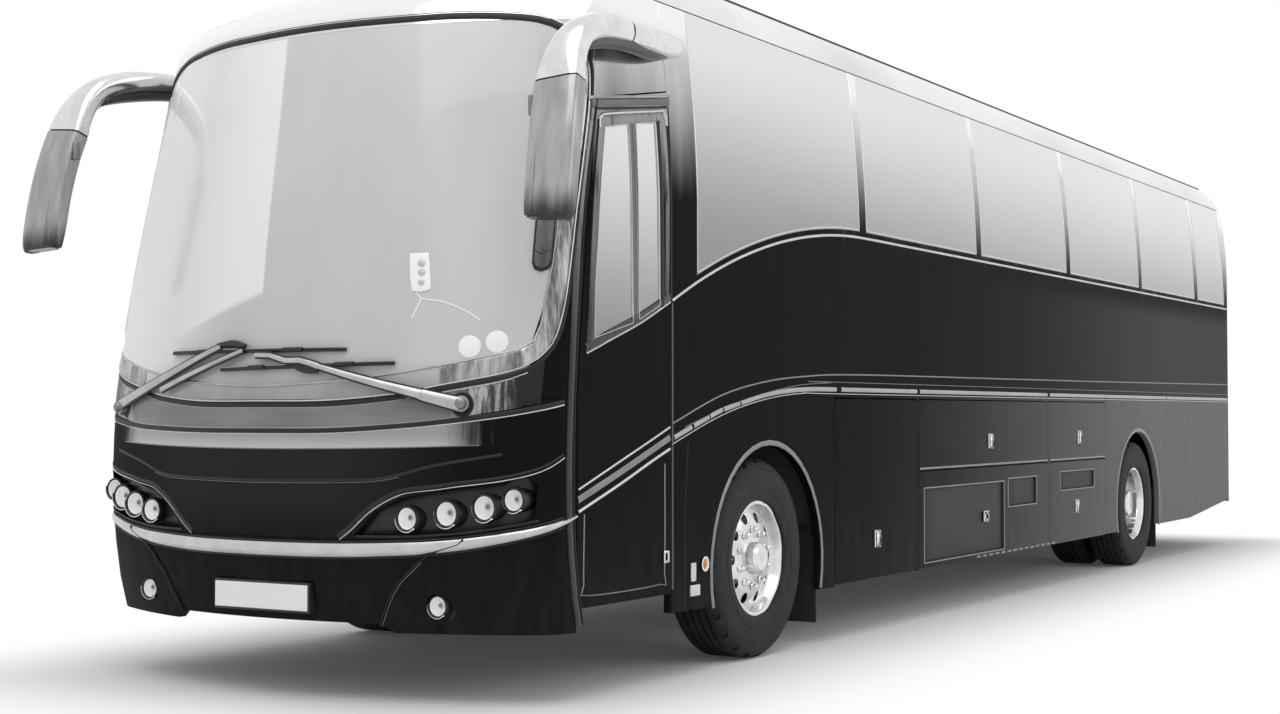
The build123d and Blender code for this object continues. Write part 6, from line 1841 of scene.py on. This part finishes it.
def wiper_blade(x0, z0, x1, z1):
    """Blade on the glass: rubber lip, dark spine with a bright back, and its two claws."""
    a, b = (along(x0), z0), (along(x1), z1)
    share = lambda t: (a[0] + (b[0] - a[0]) * t, a[1] + (b[1] - a[1]) * t)
    lip = ribbon([a, b], 0.016, 0.003, floating(0.012), 0.08, sink=0.010)
    spine = ribbon([share(0.02), share(0.98)], 0.011, 0.003, floating(0.021), 0.08, sink=0.008)
    back = ribbon(
        [(p[0], p[1] + 0.007) for p in (share(0.03), share(0.97))], 0.004, 0.002, floating(0.023), 0.08, sink=0.004,
    )
    claws = [
        ribbon([share(t - 0.05), share(t + 0.05)], 0.02, 0.006, floating(0.026), 0.02, sink=0.006) for t in (0.25, 0.75)
    ]
    return [lip, spine] + claws, [back]


class COACH_OT_wipers(bpy.types.Operator):
    """Wiper arms, blades, claws and spindle caps"""

    bl_idname = "coach.wipers"
    bl_label = "Wipers"

    def execute(self, context):
        dark, pale = [], []
        for blade in ((-0.6, 1.5, 0.43, 1.5), (-0.24, 1.42, 0.655, 1.44)):
            black, bright = wiper_blade(*blade)
            dark += black
            pale += bright
        # driver's side: a thick arm and its thin parallel mate; door side: a sleeve, an arm and its crook
        arms = [
            (
                [(-1.135, 1.252), (-0.70, 1.368), (-0.241, 1.522)], 0.046, 0.45, 0.030,
            ), ([(-0.640, 1.335), (-0.36, 1.42), (-0.097, 1.500)], 0.024, 0.7, 0.032),
            (
                [(0.965, 1.266), (0.85, 1.293), (0.79, 1.308)], 0.054, 0.78, 0.030,
            ), ([(0.80, 1.306), (0.55, 1.365), (0.30, 1.430)], 0.036, 0.55, 0.034),
            ([(0.32, 1.425), (0.22, 1.452), (0.148, 1.452), (0.06, 1.475), (-0.02, 1.478)], 0.024, 0.8, 0.034),
        ]
        for row, width, thin, high in arms:
            taper = lambda t, thin=thin: 1 - (1 - thin) * t
            pale.append(ribbon(row, width, 0.008, floating(high), 0.06, sink=0.008, taper=taper))
            dark.append(ribbon(
                row, width + 0.014, 0.003, floating(high - 0.004), 0.06, sink=0.010, taper=lambda t, w=width,
                thin=thin: (w * (1 - (1 - thin) * t) + 0.014) / (w + 0.014),
            ))
        dark.append(ribbon(
            [(0.318, 1.408), (0.25, 1.418), (0.19, 1.430)], 0.040, 0.012, floating(0.022), 0.02, sink=0.012,
            taper=lambda t: 0.5 + 2 * t * (1 - t),
        ))
        dark.append(ribbon(
            [(-0.26, 1.526), (-0.17, 1.530), (-0.09, 1.518)], 0.036, 0.014, floating(0.024), 0.02, sink=0.012,
            taper=lambda t: 0.6 + 1.6 * t * (1 - t),
        ))
        spindle = [
            (0.0, 0.058), (0.012, 0.056), (0.022, 0.050), (0.024, 0.030), (0.034, 0.027), (0.036, 0.002), (0.0, 0.002),
        ]
        well = [(0.030, 0.004), (0.046, 0.007), (0.052, 0.001), (0.052, -0.002), (0.030, -0.002)]
        caps = [boss(spindle, along(x), z, 32) for x, z in ((0.945, 1.268), (-1.04, 1.258))]
        wells = [boss(well, along(x), z, 32) for x, z in ((0.945, 1.268), (-1.02, 1.262))]
        laid("wiper_blades", dark, "black_plastic", "trim_plastic", BODY, "wipers")
        laid("wiper_arms", pale, "wiper_arm", "trim_plastic")
        laid("wiper_spindles", caps, "dull_trim", "trim_plastic")
        laid("wiper_wells", wells, "gasket", "trim_plastic")
        return {"FINISHED"}


class COACH_OT_plates(bpy.types.Operator):
    """Blank number plates in dark frames"""

    bl_idname = "coach.plates"
    bl_label = "Number plates"

    def execute(self, context):
        carriers = dressed("number_plates", "plate_carriers", "plate_frame", "trim_plastic", 0.003, 3)
        ys = [v.co.y for v in carriers.data.vertices]
        blanks = []
        for z, y, turn in ((0.442, min(ys), -1), (0.560, max(ys) - 0.005, 1)):
            y0, y1 = sorted((y, y + turn * 0.004))
            blank = block((-0.262, y0 - 0.002, z - 0.0555), (0.262, y1 + 0.002, z + 0.0555), 0.0)
            rounded(blank, 0.012, 4, 80)
            blanks.append(blank)
        laid("blank_number_plates", blanks, "plate", "plate_white")
        return {"FINISHED"}


# ---------------------------------------------------------------- cabin and running gear
SEAT_ROWS, SEAT_PITCH, FIRST_BACK = 12, 0.77, AXLE + 0.12
SEAT_FLOOR, SEAT_INNER, SEAT_WIDTH = 1.29, 0.48, 0.45
# corners of the seat section that make room for the pads, from the back's foot and the floor: old place, new place
SEAT_CUTS = [((-0.08, 0.48), (-0.028, 0.395)), ((-0.50, 0.48), (-0.488, 0.395)), ((0.06, 1.16), (0.098, 1.145))]


# size, remesh cell, furthest travel, and the sewn channels as (way across or along, place)
CUSHION = {
    "size": (0.41, 0.42, 0.062), "voxel": 0.017, "name": "cushion", "cap": 0.010,
    "seams": ((0, -0.12), (0, 0.12), (1, -0.09), (1, 0.05)),
}
BACK_PAD = {
    "size": (0.40, 0.66, 0.042), "voxel": 0.019, "name": "back_pad", "cap": 0.008,
    "seams": ((0, -0.12), (0, 0.12), (1, 0.14), (1, -0.06), (1, -0.2)),
}
SWELL_PRESSURE, SWELL_FRAMES, CHANNEL = 4.0, 20, 0.006


def seat_cut(obj, backs):
    """Sets the cushion and back faces of a bank of seats back by the thickness of their pads."""
    for v in obj.data.vertices:
        for back_y, floor_z in backs:
            for (y0, z0), (y1, z1) in SEAT_CUTS:
                if abs(v.co.y - back_y - y0) < 0.004 and abs(v.co.z - floor_z - z0) < 0.004:
                    v.co.y, v.co.z = back_y + y1, floor_z + z1


def stuffed(size, voxel, name, cap, seams):
    """A stuffed pad on the origin: a rounded block swollen by cloth pressure, its travel capped, then sewn."""
    bpy.ops.mesh.primitive_cube_add(size=1, scale=size)
    obj = settle(made(name))
    rounded(obj, min(size) * 0.34, 3)
    modify(obj, "REMESH", mode="VOXEL", voxel_size=voxel)
    before = [v.co.copy() for v in obj.data.vertices]
    cloth = obj.modifiers.new("swell", "CLOTH")
    cloth.settings.use_pressure = True
    cloth.settings.uniform_pressure_force = SWELL_PRESSURE
    cloth.settings.quality = 5
    cloth.settings.effector_weights.gravity = 0.0
    cloth.point_cache.frame_start, cloth.point_cache.frame_end = 1, SWELL_FRAMES
    scene = bpy.context.scene
    for k in range(1, SWELL_FRAMES + 1):
        scene.frame_set(k)
    shown = obj.evaluated_get(bpy.context.evaluated_depsgraph_get())
    after = [v.co.copy() for v in shown.data.vertices]
    obj.modifiers.remove(cloth)
    scene.frame_set(1)
    for v, a, b in zip(obj.data.vertices, before, after):
        move = b - a
        v.co = a + (move if move.length <= cap else move.normalized() * cap)
        for axis, place in seams:
            near = 1.0 - min(1.0, abs(v.co[axis] - place) / (voxel * 1.2))
            if near > 0 and v.co.z > 0:
                v.co.z -= CHANNEL * near
    return smooth(obj, 80)


class COACH_OT_cabin(bpy.types.Operator):
    """Seats, floor, racks, dashboard, steering wheel and steps"""

    bl_idname = "coach.cabin"
    bl_label = "Cabin"

    def execute(self, context):
        backs = [(FIRST_BACK + k * SEAT_PITCH, SEAT_FLOOR) for k in range(SEAT_ROWS)]
        dressed(
            "passenger_seats", "seat_shells", "seat_shell", "trim_plastic", 0.012, 3, 30,
            shape=lambda obj: seat_cut(obj, backs),
        )
        low, high = node_box("driver_seat")
        driver = (high.y - 0.13, low.z)
        dressed(
            "driver_seat", "drivers_seat_shell", "seat_shell", "trim_plastic", 0.012, 3, 30,
            shape=lambda obj: seat_cut(obj, [driver]),
        )
        cushion = coated(stuffed(**CUSHION), "cloth")
        pad = coated(stuffed(**BACK_PAD), "cloth")
        tilt = atan2(1.16 - 0.48, 0.14)
        lie = lambda x, back_y, floor_z: Matrix.Translation((x, back_y - 0.285, floor_z + 0.437))
        lean_back = lambda x, back_y, floor_z: Matrix.Translation(
            (x, back_y + 0.020, floor_z + 0.825)
        ) @ Matrix.Rotation(tilt, 4, "X")
        across = [side * (SEAT_INNER + SEAT_WIDTH * k) for side in (1, -1) for k in (0, 1)]
        places = [(x, back_y, floor_z) for back_y, floor_z in backs for x in across]
        for word, spots in (("seat", places), ("drivers", [((low.x + high.x) / 2,) + driver])):
            for kind, first, move in (("cushions", cushion, lie), ("backs", pad, lean_back)):
                body = joined(word + "_" + kind, [copied(first, "pad", move(*spot)) for spot in spots])
                riding(body, BODY, "seat_cloth")
        discard(cushion, pad)
        for row in (
            ("cabin_floor", "cabin_floor_covering", "vinyl", "floor_grey", 0.003),
            ("parcel_racks", "parcel_rack_pair", "cabin", "trim_plastic", 0.006, 3),
            ("dashboard", "dash_panel", "cabin", "trim_plastic", 0.012, 3),
            ("steering_wheel", "steering_wheel_rim", "black_plastic", "trim_plastic", 0.001),
            ("entry_steps", "entry_step_treads", "vinyl", "floor_grey", 0.003),
            ("door_arm", "door_arm_tube", "steel", "cast_steel", 0.001),
        ):
            dressed(*row)
        return {"FINISHED"}


class COACH_OT_chassis(bpy.types.Operator):
    """Frame, axles, engine, luggage bay and mudflaps"""

    bl_idname = "coach.chassis"
    bl_label = "Chassis"

    def execute(self, context):
        for row in (
            ("underframe", "frame_rails", "chassis", "chassis_black", 0.003),
            ("front_axle", "front_axle_beam", "steel", "cast_steel", 0.004),
            ("rear_axle", "rear_axle_casing", "steel", "cast_steel", 0.004),
            ("engine", "engine_block_casting", "engine", "engine_block", 0.01, 3),
            ("luggage_bay", "bay_lining_panels", "lining", "bay_lining", 0.003),
            ("locker_frames", "locker_seal_frames", "gasket", "chassis_black", 0.002),
            ("mudflaps", "mudflap_sheets", "rubber", "flap_rubber", 0.002),
        ):
            dressed(*row)
        for word in ("left", "right"):
            dressed("knuckle_" + word, "stub_axle_" + word, "steel", "cast_steel", 0.002)
        return {"FINISHED"}


# ---------------------------------------------------------------- studio
def seen(tree):
    """1 where the camera, a reflection or clear glass looks, 0 where only light falls."""
    path = tree.nodes.new("ShaderNodeLightPath")
    first, second, third = (
        Value(tree, path.outputs[n]) for n in ("Is Camera Ray", "Is Glossy Ray", "Is Transmission Ray")
    )
    rays = first + second + third
    return rays.maths("MINIMUM", rays, 1.0)


def studio_floor():
    """Pale matt floor that keeps the coach's shadow and fades to white far out."""
    f = Finish("studio_floor")
    x = f.x.size().maths("MAXIMUM", f.x.size() - HALF, 0.0)
    y = f.y.size().maths("MAXIMUM", f.y.size() - REAR, 0.0)
    far = ((x * x + y * y) ** 0.5).over(-0.15, 1.25)
    share = seen(f.tree) * far
    f.set(Base_Color=(0.86, 0.86, 0.86), Roughness=0.9, Specular_IOR_Level=0.1)
    white = f.tree.nodes.new("ShaderNodeEmission")
    white.inputs["Strength"].default_value = 1.0
    both = f.tree.nodes.new("ShaderNodeMixShader")
    output = f.tree.nodes["Material Output"]
    f.tree.links.new(share.socket, both.inputs[0])
    f.tree.links.new(f.shader.outputs[0], both.inputs[1])
    f.tree.links.new(white.outputs[0], both.inputs[2])
    f.tree.links.new(both.outputs[0], output.inputs["Surface"])
    return f.material


class COACH_OT_studio(bpy.types.Operator):
    """Pale floor, soft light, white surroundings and the camera"""

    bl_idname = "coach.studio"
    bl_label = "Studio"

    def execute(self, context):
        scene, g = context.scene, context.scene.coach_studio
        bpy.ops.mesh.primitive_circle_add(vertices=96, radius=60, fill_type="NGON")
        floor = made("floor")
        floor.data.materials.append(studio_floor())
        lights = (
            ("key_light", (1.5, -7.0, 9.0), (0, -2.0, 1.0), (7.0, 9.0), g.key),
            ("side_light", (10.0, 0.5, 5.5), (1.2, 0.5, 1.0), (10.0, 3.0), g.key * 0.3),
        )
        for name, place, target, size, power in lights:
            bpy.ops.object.light_add(type="AREA", location=place)
            light = bpy.context.view_layer.objects.active
            light.name = name
            light.data.shape = "RECTANGLE"
            light.data.size, light.data.size_y = size
            light.data.energy = power
            light.rotation_euler = (Vector(target) - Vector(place)).to_track_quat("-Z", "Y").to_euler()
        world = scene.world or bpy.data.worlds.new("surroundings")
        scene.world = world
        world.use_nodes = True
        tree = world.node_tree
        back = tree.nodes["Background"]
        back.inputs["Color"].default_value = (1, 1, 1, 1)
        strength = g.sky + seen(tree) * (1.0 - g.sky)
        tree.links.new(strength.socket, back.inputs["Strength"])
        bpy.ops.object.camera_add(location=(5.586, -12.325, 1.232), rotation=(radians(91.699), 0, radians(30.592)))
        camera = bpy.context.view_layer.objects.active
        camera.name = "front_view"
        camera.data.sensor_width, camera.data.lens = 36.0, 53.09
        camera.data.clip_end = 200
        scene.camera = camera
        scene.view_settings.view_transform = "Standard"
        return {"FINISHED"}


# ---------------------------------------------------------------- the add-on
OPERATORS = [
    COACH_OT_studio, COACH_OT_body, COACH_OT_glass, COACH_OT_trim, COACH_OT_door, COACH_OT_flank, COACH_OT_lamps,
    COACH_OT_wheels, COACH_OT_mirrors, COACH_OT_wipers, COACH_OT_plates, COACH_OT_cabin, COACH_OT_chassis,
]


class COACH_PT_panel(bpy.types.Panel):
    """Buttons that build the coach piece by piece"""

    bl_idname = "COACH_PT_panel"
    bl_label = "Touring Coach"
    bl_space_type = "VIEW_3D"
    bl_region_type = "UI"
    bl_category = "Coach"

    def draw(self, context):
        for group in (context.scene.coach_colours, context.scene.coach_sizes, context.scene.coach_studio):
            for name in group.bl_rna.properties.keys():
                if name not in ("rna_type", "name"):
                    self.layout.prop(group, name)
        for operator in OPERATORS:
            self.layout.operator(operator.bl_idname)


GROUPS = [CoachColours, CoachSizes, CoachStudio]


def register():
    for kind in GROUPS + OPERATORS + [COACH_PT_panel]:
        bpy.utils.register_class(kind)
    bpy.types.Scene.coach_colours = bpy.props.PointerProperty(type=CoachColours)
    bpy.types.Scene.coach_sizes = bpy.props.PointerProperty(type=CoachSizes)
    bpy.types.Scene.coach_studio = bpy.props.PointerProperty(type=CoachStudio)


def unregister():
    del bpy.types.Scene.coach_colours, bpy.types.Scene.coach_sizes, bpy.types.Scene.coach_studio
    for kind in reversed(GROUPS + OPERATORS + [COACH_PT_panel]):
        bpy.utils.unregister_class(kind)


def main():
    register()
    for operator in OPERATORS:
        group, name = operator.bl_idname.split(".")
        if getattr(getattr(bpy.ops, group), name)() != {"FINISHED"}:
            raise RuntimeError(operator.bl_label + " couldn't be finished")


if __name__ == "__main__":
    main()
